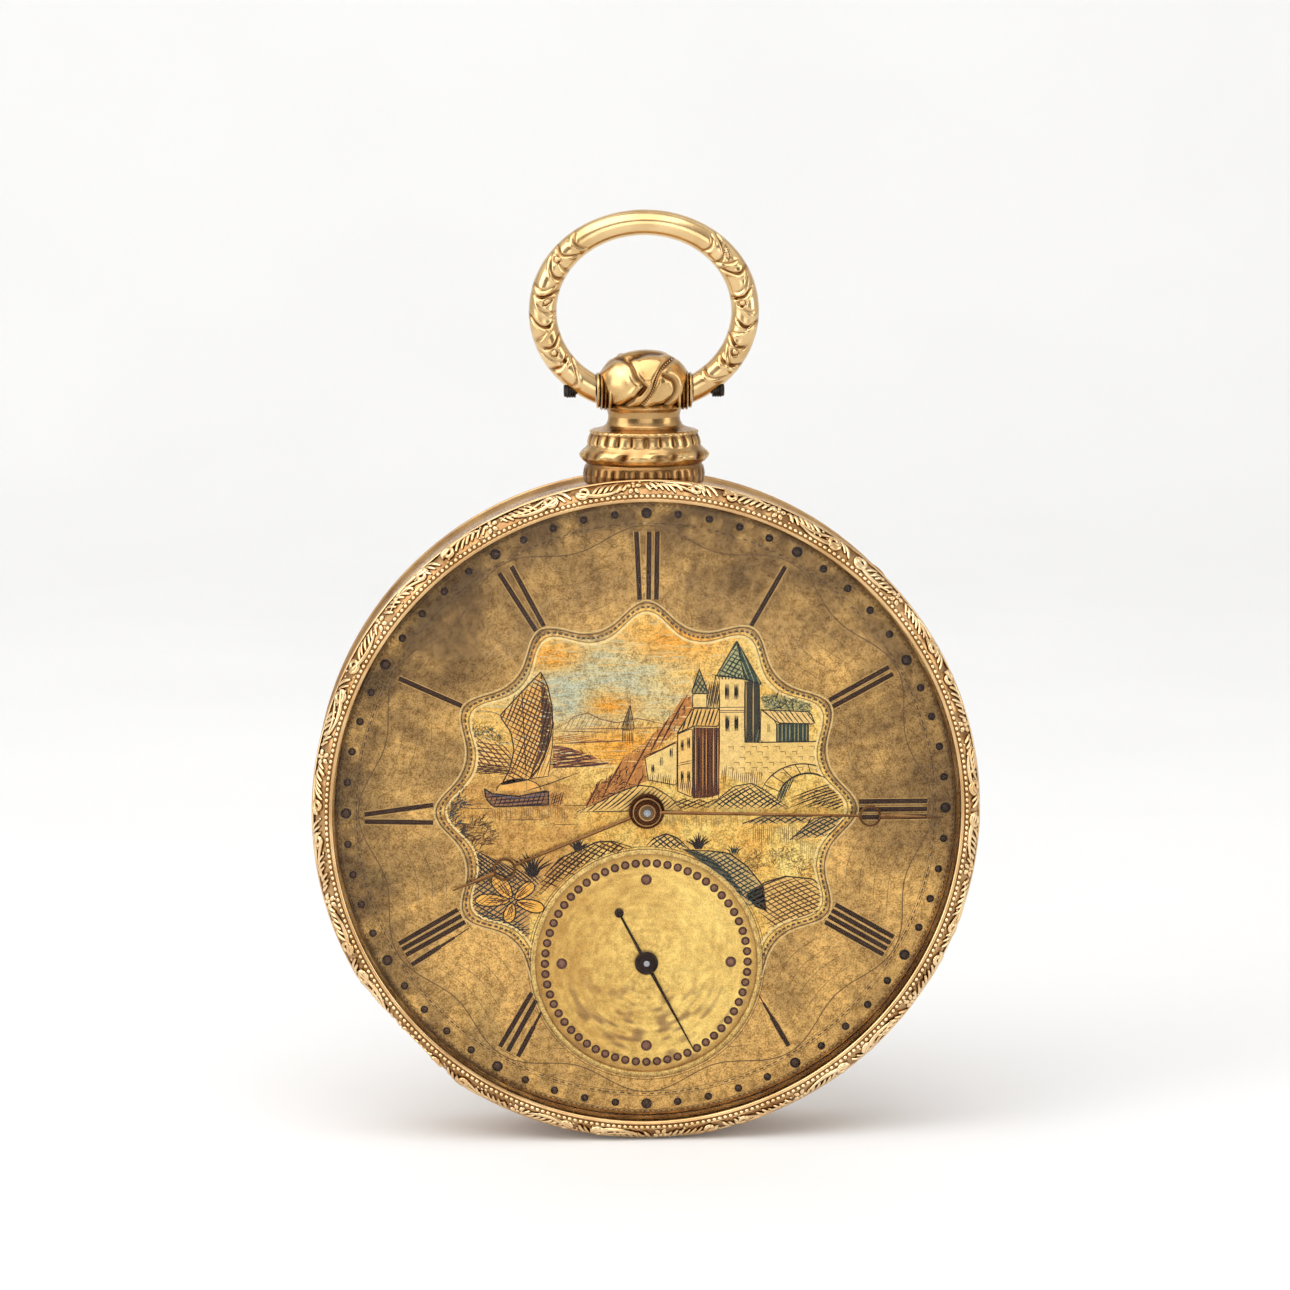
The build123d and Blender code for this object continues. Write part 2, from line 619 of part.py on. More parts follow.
def click():
    """The pawl beside the ratchet wheel. Its nose stands just clear of the teeth."""
    towards = direction_of(CLICK_AT, BARREL)
    nose = polar(1.42, towards - 28)
    body = bar(((0, 0), 0.75), (nose, 0.08))
    return Pos(*CLICK_AT, 0) * (slab(body, BRIDGE_TOP - 0.03, BRIDGE_TOP - 0.31) - disc(0.35 + RUN, -6, -4))


def click_screw():
    return slotted_screw(CLICK_AT, BRIDGE_TOP - 0.6, BRIDGE_TOP - 0.34, BRIDGE_TOP + 0.8, 0.62)


def click_spring():
    """A slim bent blade screwed to the barrel bridge."""
    foot = (CLICK_AT[0] + 2.6, CLICK_AT[1] + 1.6)
    blade = make_face(
        Polyline(
            (foot[0] - 0.2, foot[1]),
            (CLICK_AT[0] + 0.2, CLICK_AT[1] + 1.15),
            (CLICK_AT[0] - 0.9, CLICK_AT[1] + 1.0),
            (CLICK_AT[0] - 0.9, CLICK_AT[1] + 0.9),
            (CLICK_AT[0] + 0.3, CLICK_AT[1] + 0.95),
            (foot[0], foot[1] - 0.4),
            close=True,
        )
    )
    flat = blade + Pos(*foot) * Circle(0.55) - Pos(*foot) * Circle(0.25)
    return slab(flat, BRIDGE_TOP - 0.03, BRIDGE_TOP - 0.2), staff(
        foot, (0.25, BRIDGE_TOP + 0.6, BRIDGE_TOP - 0.2), (0.42, BRIDGE_TOP - 0.2, BRIDGE_TOP - 0.38)
    )


def centre_arbor():
    """The hollow centre pinion."""
    phase = mesh_phase(BARREL_TEETH, 0, CENTRE_LEAVES, BARREL_DEG + 180)
    leaves = slab(gear(CENTRE_LEAVES, BARREL_MODULE, phase, share=0.38), -1.65, -2.9)
    return leaves + disc(0.45, 0.08, -4.62) - disc(0.25, 1, -5)


def train_wheel(teeth, module, at, low, high, bore):
    pitch = teeth * module / 2
    outline = crossed(gear(teeth, module), pitch - 0.5, 0.95, 5, 0.38)
    return Pos(*at, 0) * (slab(outline, low, high) - disc(bore, 1, -6))


def train_arbor(at, teeth, module, phase, leaves_low, leaves_high, top_pivot, seat):
    """An arbor with its pinion. seat is (radius, low, high) where the wheel sits."""
    leaves = Pos(*at, 0) * slab(gear(teeth, module, phase, share=0.38), leaves_low, leaves_high)
    return leaves + staff(at, (0.22, PLATE_BACK - 0.04, BRIDGE_LOW + 0.04), (0.1, -0.9, -4.3), seat) + top_pivot


def escape_wheel():
    """Fifteen club teeth on a light rim."""
    points = []
    for k in range(ESCAPE_TEETH):
        base = 360 * k / ESCAPE_TEETH
        points += [
            polar(ESCAPE_R * 0.8, base - 4),
            polar(ESCAPE_R * 0.97, base + 5.5),
            polar(ESCAPE_R, base + 9.5),
            polar(ESCAPE_R * 0.86, base + 7.5),
            polar(ESCAPE_R * 0.8, base + 5.5),
        ]
    outline = crossed(make_face(Polyline(*points, close=True)), ESCAPE_R * 0.68, 0.5, 4, 0.22)
    return Pos(*ESCAPE, 0) * (slab(outline, -1.72, -1.88) - disc(0.22, 0, -3))


def on_lever(shape):
    """Places a shape drawn with the lever along x, from the pallet arbor."""
    return Pos(*PALLET, 0) * Rot(0, 0, LEVER_DEG) * shape


def pallet_arms():
    """Where the two stones stand, seen from the pallet arbor."""
    reach = ESCAPE_R * sin(radians(30)) / cos(radians(30)) + 0.14
    return [(polar(reach, 180 + s * STONE_DEG), s) for s in (1, -1)]


def pallet_fork():
    """The lever: two pallet arms, a slim shank and a notched fork."""
    flat = Circle(0.42)
    for (x, y), s in pallet_arms():
        flat += bar(((0, 0), 0.3), ((x * 0.82, y * 0.82), 0.24))
    flat += Pos(1.4, 0) * Rectangle(2.8, 0.26)
    flat += Pos(2.95, 0) * Rectangle(0.5, 0.9) - Pos(3.1, 0) * Rectangle(0.5, 0.3)
    fork = slab(flat, -1.72, -1.92) - disc(0.22, 0, -3)
    for (x, y), s in pallet_arms():
        fork -= Pos(x, y, -1.82) * Rot(0, 0, 180 + s * STONE_DEG) * Box(0.62, 0.2, 0.3)
    return on_lever(fork)


def pallet_stones():
    stones = []
    for (x, y), s in pallet_arms():
        stones.append(on_lever(Pos(x, y, -1.82) * Rot(0, 0, 180 + s * STONE_DEG) * Box(0.58, 0.2, 0.2)))
    return stones


def balance_wheel():
    """A plain gold ring with three arms and timing screws."""
    ring = slab(crossed(Circle(BALANCE_R - 0.35), BALANCE_R - 0.95, 0.9, 3, 0.5), -2.85, -3.2)
    ring -= disc(0.3, -2, -4)
    for k in range(12):
        if k % 4:
            ring += Rot(0, 0, 30 * k) * Pos(BALANCE_R - 0.3, 0, -3.02) * Rot(0, 90, 0) * Cylinder(0.14, 0.5)
    return Pos(*BALANCE, 0) * ring


def roller():
    """The roller table, with a short impulse jewel that stops just above the fork."""
    pin = polar(0.72, LEVER_DEG + 180)
    table = tube(0.25, 0.95, -2.2, -2.4) + disc(0.12, -2.0, -2.3, pin)
    return Pos(*BALANCE, 0) * table


def hairspring():
    return spiral(0.75, 3.0, 8, 0.06, -3.28, -3.42, BALANCE)


HAIRSPRING_END = (BALANCE[0] + 3.0, BALANCE[1])


def balance_cock():
    cock = bridge(BALANCE, [COCK_FOOT], 0.12, 2.2, jewel_r=0.6)
    cap_seat = disc(0.62, BRIDGE_LOW - 0.35, BRIDGE_TOP - 1, BALANCE)
    return cock - cap_seat - disc(0.28, -3, -5, HAIRSPRING_END)


def hairspring_stud():
    stud = disc(0.26, -3.26, -4.7, HAIRSPRING_END)
    return stud - Pos(HAIRSPRING_END[0], HAIRSPRING_END[1], -3.35) * Box(1, 0.1, 0.24)


def regulator():
    """The index that turns on the cock's cap."""
    tail = make_face(Polyline((0, -0.28), (4.6, -0.06), (4.6, 0.06), (0, 0.28), close=True))
    short = make_face(Polyline((0, -0.3), (-2.2, -0.2), (-2.2, 0.2), (0, 0.3), close=True))
    flat = Circle(1.35) + tail + short - Circle(0.95 + RUN)
    toward = direction_of(BALANCE, COCK_FOOT)
    return Pos(*BALANCE, 0) * Rot(0, 0, toward + 90) * slab(flat, BRIDGE_TOP - 0.01, BRIDGE_TOP - 0.19)


def balance_cap():
    """The polished steel cap and end stone over the balance pivot."""
    return disc(0.95, BRIDGE_TOP, BRIDGE_TOP - 0.22, BALANCE) + disc(0.6, BRIDGE_TOP, -3.95, BALANCE)


def jewel(at, radius, bore, low=BRIDGE_LOW):
    return tube(bore, radius, low, low - 0.35, at)


def case_screws():
    screws = []
    for radius, angle in CASE_SCREWS:
        screws.append(slotted_screw(polar(radius, angle), -2.7, -2.32, -0.55, 0.95))
    return screws


# ---------------------------------------------------------------- build and write
def write_case():
    save("case_band", case_band())
    save("bezel", bezel())
    save("crystal", crystal())
    save("back_cover", back_cover())
    save("cuvette", cuvette())
    save("pendant", pendant())
    save("bow", bow())
    save("bow_screws", *bow_screws())
    for name, pin in zip(("bezel_hinge_pin", "back_hinge_pin", "cuvette_hinge_pin"), hinge_pins()):
        save(name, pin)
    save("case_screws", *case_screws())


def write_dial_side():
    save("dial", dial())
    save("seconds_dial", seconds_dial())
    save("dial_foot_pins", *dial_foot_pins())
    save("hour_hand", hour_hand())
    save("minute_hand", minute_hand())
    save("seconds_hand", seconds_hand())
    save("cannon_pinion", cannon_pinion())
    save("minute_wheel", minute_wheel())
    save("hour_wheel", hour_wheel())
    save("minute_wheel_post", minute_post())


def write_bridges():
    save("main_plate", main_plate())
    arbor_bore = 0.7 + RUN
    barrel_bridge = bridge(BARREL, BARREL_FEET, 0, 4.4, bore_r=arbor_bore)
    barrel_bridge -= disc(SCREW_R, -3, -5, CLICK_AT)
    spring, spring_screw = click_spring()
    barrel_bridge -= spring_screw
    save("barrel_bridge", barrel_bridge)
    save("click_spring", spring)
    save("click_screws", click_screw(), spring_screw)
    save("centre_bridge", bridge((0, 0), [CENTRE_FOOT], 0, 1.9, bore_r=0.45 + RUN))
    save("third_bridge", bridge(THIRD, [THIRD_FOOT], 0.12, jewel_r=0.6))
    save("fourth_bridge", bridge(FOURTH, [FOURTH_FOOT], 0.12, jewel_r=0.6))
    save("escape_bridge", bridge(ESCAPE, [ESCAPE_FOOT], 0.12, 1.2, jewel_r=0.6))
    low, top = PALLET_BRIDGE_LOW, PALLET_BRIDGE_TOP
    ends = [(PALLET, 0.7), (PALLET_FOOT, 1.2)]
    pallet_bridge = slab(bar(*ends), low, top) + disc(1.2, low, PLATE_BACK, PALLET_FOOT)
    pallet_bridge -= disc(SCREW_R, 0, -3, PALLET_FOOT) + disc(0.75, top + 0.2, top - 1, PALLET_FOOT)
    save("pallet_bridge", pallet_bridge - disc(0.12, 0, -3, PALLET))
    save("balance_cock", balance_cock())
    save("bridge_screws", *bridge_screws())
    save("jewels", *[jewel(at, 0.6, 0.12) for at in (THIRD, FOURTH, ESCAPE, BALANCE)])
    save("balance_cap", balance_cap())
    save("regulator", regulator())
    save("hairspring_stud", hairspring_stud())


def write_train():
    save("barrel", barrel())
    save("barrel_cover", barrel_cover())
    save("barrel_arbor", barrel_arbor())
    save("mainspring", mainspring())
    save("ratchet_wheel", ratchet_wheel())
    save("click", click())
    save("centre_wheel", train_wheel(CENTRE_TEETH, CENTRE_MODULE, (0, 0), -3.05, -3.25, 0.45))
    save("centre_arbor", centre_arbor())
    setting = disc(0.25, 2.95, -4.66) + Pos(0, 0, -4.93) * Box(0.9, 0.9, 0.54)
    save("setting_arbor", setting)
    nothing = disc(0.1, -1.7, -1.8, THIRD)
    phase = mesh_phase(CENTRE_TEETH, 0, THIRD_LEAVES, direction_of((0, 0), THIRD))
    third = train_arbor(THIRD, THIRD_LEAVES, CENTRE_MODULE, phase, -2.9, -3.4, nothing, (0.4, -1.9, -2.2))
    save("third_arbor", third)
    save("third_wheel", train_wheel(THIRD_TEETH, THIRD_MODULE, THIRD, -2.0, -2.2, 0.4))
    phase = mesh_phase(THIRD_TEETH, 0, FOURTH_LEAVES, direction_of(THIRD, FOURTH))
    seconds_pivot = disc(0.2, -1, 2.1, FOURTH)
    fourth = train_arbor(
        FOURTH, FOURTH_LEAVES, THIRD_MODULE, phase, -1.85, -2.4, seconds_pivot, (0.45, -2.4, -2.8)
    )
    save("fourth_arbor", fourth)
    save("fourth_wheel", train_wheel(FOURTH_TEETH, FOURTH_MODULE, FOURTH, -2.6, -2.8, 0.45))
    phase = mesh_phase(FOURTH_TEETH, 0, ESCAPE_LEAVES, direction_of(FOURTH, ESCAPE))
    nothing = disc(0.1, -1.7, -1.8, ESCAPE)
    escape = train_arbor(ESCAPE, ESCAPE_LEAVES, FOURTH_MODULE, phase, -2.5, -2.95, nothing, (0.22, -1.7, -3))
    save("escape_arbor", escape)
    save("escape_wheel", escape_wheel())
    save("pallet_fork", pallet_fork())
    save("pallet_stones", *pallet_stones())
    save("pallet_arbor", staff(PALLET, (0.22, -1.66, -2.1), (0.1, -1.0, -2.5)))
    save("balance_wheel", balance_wheel())
    save("balance_staff", staff(BALANCE, (0.25, -1.7, -3.22), (0.3, -2.6, -3.22), (0.62, -3.24, -3.44), (0.1, -1.0, -3.9)))
    save("roller", roller())
    save("hairspring", hairspring())


if __name__ == "__main__":
    os.makedirs("parts", exist_ok=True)
    write_case()
    write_dial_side()
    write_bridges()
    write_train()
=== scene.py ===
"""Looks for the open face pocket watch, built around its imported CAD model.

Shapes are drawn on a bench: x towards 3 o'clock, y towards 12 o'clock, z towards the reader,
in millimetres from the hands' axis. place() stands them up in the frame, where the dial
faces -Y and the pendant points to +Z.
"""

import math
import random

import bmesh
import bpy
import numpy as np
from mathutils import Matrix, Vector
from mathutils.geometry import tessellate_polygon


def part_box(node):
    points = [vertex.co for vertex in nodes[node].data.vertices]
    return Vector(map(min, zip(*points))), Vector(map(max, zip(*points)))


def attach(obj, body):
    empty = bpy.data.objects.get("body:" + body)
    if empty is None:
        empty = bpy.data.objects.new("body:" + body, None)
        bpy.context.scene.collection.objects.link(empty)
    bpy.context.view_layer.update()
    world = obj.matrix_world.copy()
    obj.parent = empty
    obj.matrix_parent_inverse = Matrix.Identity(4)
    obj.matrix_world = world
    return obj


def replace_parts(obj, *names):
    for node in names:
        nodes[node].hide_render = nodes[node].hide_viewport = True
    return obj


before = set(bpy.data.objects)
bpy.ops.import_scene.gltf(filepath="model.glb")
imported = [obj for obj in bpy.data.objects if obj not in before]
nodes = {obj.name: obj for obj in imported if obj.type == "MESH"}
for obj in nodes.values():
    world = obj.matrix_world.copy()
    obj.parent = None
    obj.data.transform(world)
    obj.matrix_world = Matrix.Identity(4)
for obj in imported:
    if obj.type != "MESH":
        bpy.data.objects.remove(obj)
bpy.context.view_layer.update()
chance = random.Random(12)
MM = 0.001
# dark brown that cuts, grooves and gaps are blended towards: painted shade, with dirt
DIRT_AND_SHADE = (104, 74, 50)


def bench_box(node):
    """The lowest and highest bench coordinates of a CAD node, in millimetres."""
    low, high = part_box(node)
    return (low.x / MM, low.z / MM, -high.y / MM), (high.x / MM, high.z / MM, -low.y / MM)


# ------------------------------------------------------------------ sizes from the frame
DIAL_LOW, DIAL_HIGH = bench_box("dial")
DIAL_R, DIAL_TOP = DIAL_HIGH[0], DIAL_HIGH[2]
SUB_LOW, SUB_HIGH = bench_box("seconds_dial")
SUB_Y = (SUB_LOW[1] + SUB_HIGH[1]) / 2
SUB_TOP = SUB_HIGH[2]
WELL_R = SUB_HIGH[0] - 0.35
BEZEL_LOW = bench_box("bezel")[0]
BEZEL_BASE = DIAL_TOP - 0.02
BAND_FRONT, BAND_BACK = DIAL_TOP - 0.05, bench_box("back_cover")[1][2]
BACK_LOW = bench_box("back_cover")[0]
GLASS_LOW, GLASS_HIGH = bench_box("crystal")
BOW_HIGH = bench_box("bow")[1]
SCREW_LOW, SCREW_HIGH = bench_box("bow_screws")
BOW_AXIS_Y = (SCREW_LOW[1] + SCREW_HIGH[1]) / 2
MID_Z = (SCREW_LOW[2] + SCREW_HIGH[2]) / 2
HOUR_LOW, HOUR_HIGH = bench_box("hour_hand")
MINUTE_LOW, MINUTE_HIGH = bench_box("minute_hand")
SECONDS_LOW, SECONDS_HIGH = bench_box("seconds_hand")
HINGE_DEG, HINGE_R, FLAT = 223.0, 21.6, 21.9
BEAD_RING_R = 21.52
RESERVE_R, RESERVE_LOBE, LOBES = 12.98, 0.8, 12
TRACK_R = 20.2
PLATE_BACK = DIAL_LOW[2] + 3.85  # the dial's box starts at the ends of its feet, 3.85 mm lower
WELL_RIM_SHARE = 0.06  # how much of the dial's mesh goes into the rim of the seconds well
ENGRAVING_Z = DIAL_TOP + 0.006


def place(points):
    """Bench millimetres to metres in the standing frame."""
    p = np.asarray(points, float).reshape(-1, 3)
    return np.stack([p[:, 0], -p[:, 2], p[:, 1]], 1) * MM


def linear(colour):
    """A colour given as 0 to 255 screen values, as linear light."""
    c = np.asarray(colour, float) / 255
    return np.where(c <= 0.04045, c / 12.92, ((c + 0.055) / 1.055) ** 2.4)


def polar(radius, degrees):
    """The point at this distance and direction, in degrees counter-clockwise from 3 o'clock."""
    return (radius * math.cos(math.radians(degrees)), radius * math.sin(math.radians(degrees)))


def clock(radius, degrees):
    """The same with degrees counted clockwise from 12 o'clock."""
    return polar(radius, 90 - degrees)


# ------------------------------------------------------------------ mesh building
class Piece:
    """Collects shapes in bench millimetres and makes one Blender object of them."""

    def __init__(self):
        self.points, self.faces, self.tones, self.count = [], [], [], 0

    def add(self, points, faces, tone=(255, 255, 255)):
        """Adds a shape; a fourth number on its points says how far each one is darkened by painted shade and
        dirt, from 0 to 1.
        """
        points = np.asarray(points, float)
        points = points.reshape(-1, points.shape[-1])
        if points.shape[1] == 4:
            tone = mix(tone, DIRT_AND_SHADE, points[:, 3])
            points = points[:, :3]
        self.points.append(points)
        self.faces += [tuple(int(i) + self.count for i in f) for f in faces]
        colours = np.asarray(tone, float)
        if colours.ndim == 1:
            colours = np.tile(colours, (len(points), 1))
        self.tones.append(colours)
        self.count += len(points)

    def build(self, name, body, slot, material, sharp=35, outward=True):
        mesh = bpy.data.meshes.new(name)
        mesh.from_pydata(place(np.concatenate(self.points)).tolist(), [], self.faces)
        if outward:
            shell = bmesh.new()
            shell.from_mesh(mesh)
            bmesh.ops.recalc_face_normals(shell, faces=shell.faces)
            shell.to_mesh(mesh)
            shell.free()
        tone = mesh.color_attributes.new("tone", "FLOAT_COLOR", "POINT")
        values = linear(np.concatenate(self.tones))
        tone.data.foreach_set("color", np.c_[values, np.ones(len(values))].ravel().astype(np.float32))
        mesh.polygons.foreach_set("use_smooth", np.ones(len(mesh.polygons), bool))
        mesh.set_sharp_from_angle(angle=math.radians(sharp))
        piece = bpy.data.objects.new(name, mesh)
        bpy.context.scene.collection.objects.link(piece)
        mesh.materials.append(material)
        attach(piece, body)
        return piece


def sheet(surface, nu, nv, wrap_u=True, wrap_v=True):
    """A grid over surface(u, v), with u and v running from 0 to 1."""
    us = np.arange(nu) / nu if wrap_u else np.linspace(0, 1, nu)
    vs = np.arange(nv) / nv if wrap_v else np.linspace(0, 1, nv)
    u, v = np.meshgrid(us, vs, indexing="ij")
    points = np.stack(np.broadcast_arrays(*surface(u, v)), -1)
    points = points.reshape(-1, points.shape[-1])
    a, b = np.meshgrid(np.arange(nu if wrap_u else nu - 1), np.arange(nv if wrap_v else nv - 1),
        indexing="ij")
    a2, b2 = (a + 1) % nu, (b + 1) % nv
    faces = np.stack([a * nv + b, a2 * nv + b, a2 * nv + b2, a * nv + b2], -1).reshape(-1, 4)
    return points, faces


def along(outline, v, closed=True):
    """Points at shares v of the length of an outline of (a, b) points."""
    p = np.asarray(outline, float)
    if closed:
        p = np.vstack([p, p[:1]])
    run = np.r_[0, np.cumsum(np.hypot(*np.diff(p, axis=0).T))]
    s = np.asarray(v) * run[-1]
    return np.interp(s, run, p[:, 0]), np.interp(s, run, p[:, 1])


def turned(outline, steps=96, rings=None, at=(0, 0), closed=True):
    """A solid of revolution about z from an outline of (radius, z) points."""
    rings = rings or len(outline)
    if rings == len(outline):
        p = np.asarray(outline, float)
        r, z = p[:, 0], p[:, 1]
    else:
        r, z = along(outline, np.arange(rings) / (rings if closed else rings - 1), closed)

    def surface(u, v):
        k = np.rint(v * (len(r) if closed else len(r) - 1)).astype(int)
        angle = u * 2 * np.pi
        return at[0] + r[k] * np.cos(angle), at[1] + r[k] * np.sin(angle), z[k]

    return sheet(surface, steps, len(r), True, closed)


def swept(path, radius, sides=8, flatten=1.0, up=(0, 0, 1)):
    """A tapered round rod along a path; radius is a number or one per point."""
    p = np.asarray(path, float)
    radii = np.broadcast_to(radius, len(p))
    tangent = np.gradient(p, axis=0)
    tangent /= np.linalg.norm(tangent, axis=1, keepdims=True) + 1e-12
    ups = np.broadcast_to(np.asarray(up, float), p.shape)
    side = np.cross(tangent, ups)
    side /= np.linalg.norm(side, axis=1, keepdims=True) + 1e-12
    lift = np.cross(side, tangent)
    rings = []
    for k in range(sides):
        a = 2 * np.pi * k / sides
        rings.append(p + side * (radii * np.cos(a))[:, None] + lift * (radii * flatten * np.sin(a))[:, None])
    points = np.stack(rings, 1).reshape(-1, 3)
    faces = []
    for i in range(len(p) - 1):
        for k in range(sides):
            j = (k + 1) % sides
            faces.append((i * sides + k, i * sides + j, (i + 1) * sides + j, (i + 1) * sides + k))
    faces.append(tuple(range(sides))[::-1])
    faces.append(tuple(range((len(p) - 1) * sides, len(p) * sides)))
    return points, faces


def blob(centre, ahead, out, length, width, height, rows=4, sides=8):
    """Half of an egg standing on a surface: ahead is its long direction, out the way it stands."""
    centre, ahead, out = (np.asarray(v, float) for v in (centre, ahead, out))
    side = np.cross(out, ahead)
    points = []
    for i in range(rows):
        ring = math.pi / 2 * i / rows
        for k in range(sides):
            a = 2 * math.pi * k / sides
            flat = math.cos(ring)
            points.append(
                centre
                + ahead * (length * flat * math.cos(a))
                + side * (width * flat * math.sin(a))
                + out * (height * math.sin(ring))
            )
    points.append(centre + out * height)
    faces = []
    for i in range(rows - 1):
        for k in range(sides):
            j = (k + 1) % sides
            faces.append((i * sides + k, i * sides + j, (i + 1) * sides + j, (i + 1) * sides + k))
    top = rows * sides
    faces += [((rows - 1) * sides + k, (rows - 1) * sides + (k + 1) % sides, top) for k in range(sides)]
    faces.append(tuple(range(sides))[::-1])
    return points, faces


def blotches(x, y, size, seed):
    """Smooth random patches of about this size, from 0 to 1."""
    lattice = np.random.RandomState(seed).rand(64, 64)
    gx, gy = np.asarray(x, float) / size + 100, np.asarray(y, float) / size + 100
    ix, iy = np.floor(gx).astype(int), np.floor(gy).astype(int)
    fx, fy = gx - ix, gy - iy
    fx, fy = fx * fx * (3 - 2 * fx), fy * fy * (3 - 2 * fy)

    def corner(dx, dy):
        return lattice[(ix + dx) % 64, (iy + dy) % 64]

    low = corner(0, 0) * (1 - fx) + corner(1, 0) * fx
    high = corner(0, 1) * (1 - fx) + corner(1, 1) * fx
    return low * (1 - fy) + high * fy


def mix(a, b, share):
    """Blends two colours, or arrays of them, by a share from 0 to 1."""
    share = np.clip(np.asarray(share, float), 0, 1)[..., None]
    return np.asarray(a, float) * (1 - share) + np.asarray(b, float) * share


# ------------------------------------------------------------------ materials
class Shader:
    """A small helper around one material's node tree."""

    def __init__(self, name):
        self.material = bpy.data.materials.new(name)
        self.material.use_nodes = True
        self.tree = self.material.node_tree
        self.skin = self.tree.nodes["Principled BSDF"]
        self.where = self.node("ShaderNodeTexCoord").outputs["Object"]

    def node(self, kind, **settings):
        made = self.tree.nodes.new(kind)
        for key, value in settings.items():
            if key.startswith("in_"):
                self.set(made.inputs[key[3:].replace("_", " ")], value)
            else:
                setattr(made, key, value)
        return made

    def set(self, socket, value):
        if isinstance(value, bpy.types.NodeSocket):
            self.tree.links.new(value, socket)
        else:
            socket.default_value = value

    def skin_set(self, **values):
        for key, value in values.items():
            self.set(self.skin.inputs[key.replace("_", " ")], value)

    def noise(self, size_mm, detail=3.0, stretch=None, rough=0.5):
        """Noise whose patches are about this many millimetres across."""
        where = self.where
        if stretch:
            where = self.node("ShaderNodeMapping", in_Vector=where, in_Scale=stretch).outputs["Vector"]
        scale = 1 / (size_mm * MM)
        made = self.node("ShaderNodeTexNoise", in_Vector=where, in_Scale=scale, in_Detail=detail,
            in_Roughness=rough)
        return made.outputs["Fac"]

    def spread(self, value, low, high, to_low=0.0, to_high=1.0):
        made = self.node("ShaderNodeMapRange")
        for index, number in enumerate((value, low, high, to_low, to_high)):
            self.set(made.inputs[index], number)
        return made.outputs[0]

    def math(self, operation, a, b=0.0):
        made = self.node("ShaderNodeMath", operation=operation)
        self.set(made.inputs[0], a)
        self.set(made.inputs[1], b)
        return made.outputs[0]

    def colours(self, share, a, b):
        """Mixes two colours, given as 0 to 255 values or sockets."""
        made = self.node("ShaderNodeMix", data_type="RGBA")
        self.set(made.inputs[0], share)
        for socket, colour in ((made.inputs[6], a), (made.inputs[7], b)):
            if not isinstance(colour, bpy.types.NodeSocket):
                colour = (*linear(colour), 1)
            self.set(socket, colour)
        return made.outputs[2]

    def times(self, a, b, share=1.0):
        """Multiplies two colours."""
        made = self.node("ShaderNodeMix", data_type="RGBA", blend_type="MULTIPLY")
        for index, value in ((0, share), (6, a), (7, b)):
            self.set(made.inputs[index], value)
        return made.outputs[2]

    def shade(self, colour, reach_mm, deep, strength=1.0):
        """Darkens hollows and places close to other parts, found by ambient occlusion: painted shade,
        together with old polish and dirt.
        """
        hollow = self.node("ShaderNodeAmbientOcclusion", samples=6)
        self.set(hollow.inputs["Distance"], reach_mm * MM)
        open_share = self.spread(hollow.outputs["AO"], 0.25, 0.85, 1 - strength, 1.0)
        return self.colours(open_share, deep, colour)

    def bump(self, height, depth_mm, strength=1.0, normal=None):
        made = self.node("ShaderNodeBump", in_Strength=strength, in_Distance=depth_mm * MM, in_Height=height)
        if normal is not None:
            self.set(made.inputs["Normal"], normal)
        return made.outputs["Normal"]

    def rounded(self, radius_mm):
        """Softens sharp edges in the shading."""
        made = self.node("ShaderNodeBevel", samples=4)
        self.set(made.inputs["Radius"], radius_mm * MM)
        return made.outputs["Normal"]


def gold(name, light, dark, rough=(0.16, 0.3), wear_and_shade=0.35, reach=0.5, deep=(70, 42, 18), edge=0.0,
    toned=False):
    """Old gold: two tones, fine scratches, and brown dirt with painted shade in the hollows."""
    s = Shader(name)
    tone = s.colours(s.spread(s.noise(2.4), 0.35, 0.65), light, dark)
    if toned:
        tone = s.times(tone, s.node("ShaderNodeAttribute", attribute_name="tone").outputs["Color"])
    # Hollows darken towards the deep colour: painted shade, with dirt.
    tone = s.shade(tone, reach, deep, wear_and_shade)
    fine = s.noise(0.16, 4)
    s.skin_set(Base_Color=tone, Metallic=1.0, Roughness=s.spread(s.noise(0.9, 4), 0.3, 0.7, *rough))
    normal = s.rounded(edge) if edge else None
    s.skin_set(Normal=s.bump(fine, 0.006, 0.6, normal))
    return s.material


def gilt(name, light, dark, grain_mm=0.07, rough=0.42, depth=0.012, edge=0.05):
    """Frosted gilding, with softened edges."""
    s = Shader(name)
    tone = s.colours(s.spread(s.noise(3.0), 0.35, 0.65), light, dark)
    s.skin_set(Base_Color=s.shade(tone, 0.6, (86, 56, 24), 0.6), Metallic=1.0)
    s.skin_set(Roughness=s.spread(s.noise(0.5), 0.3, 0.7, rough - 0.06, rough + 0.1))
    s.skin_set(Normal=s.bump(s.noise(grain_mm, 2), depth, 0.8, s.rounded(edge)))
    return s.material


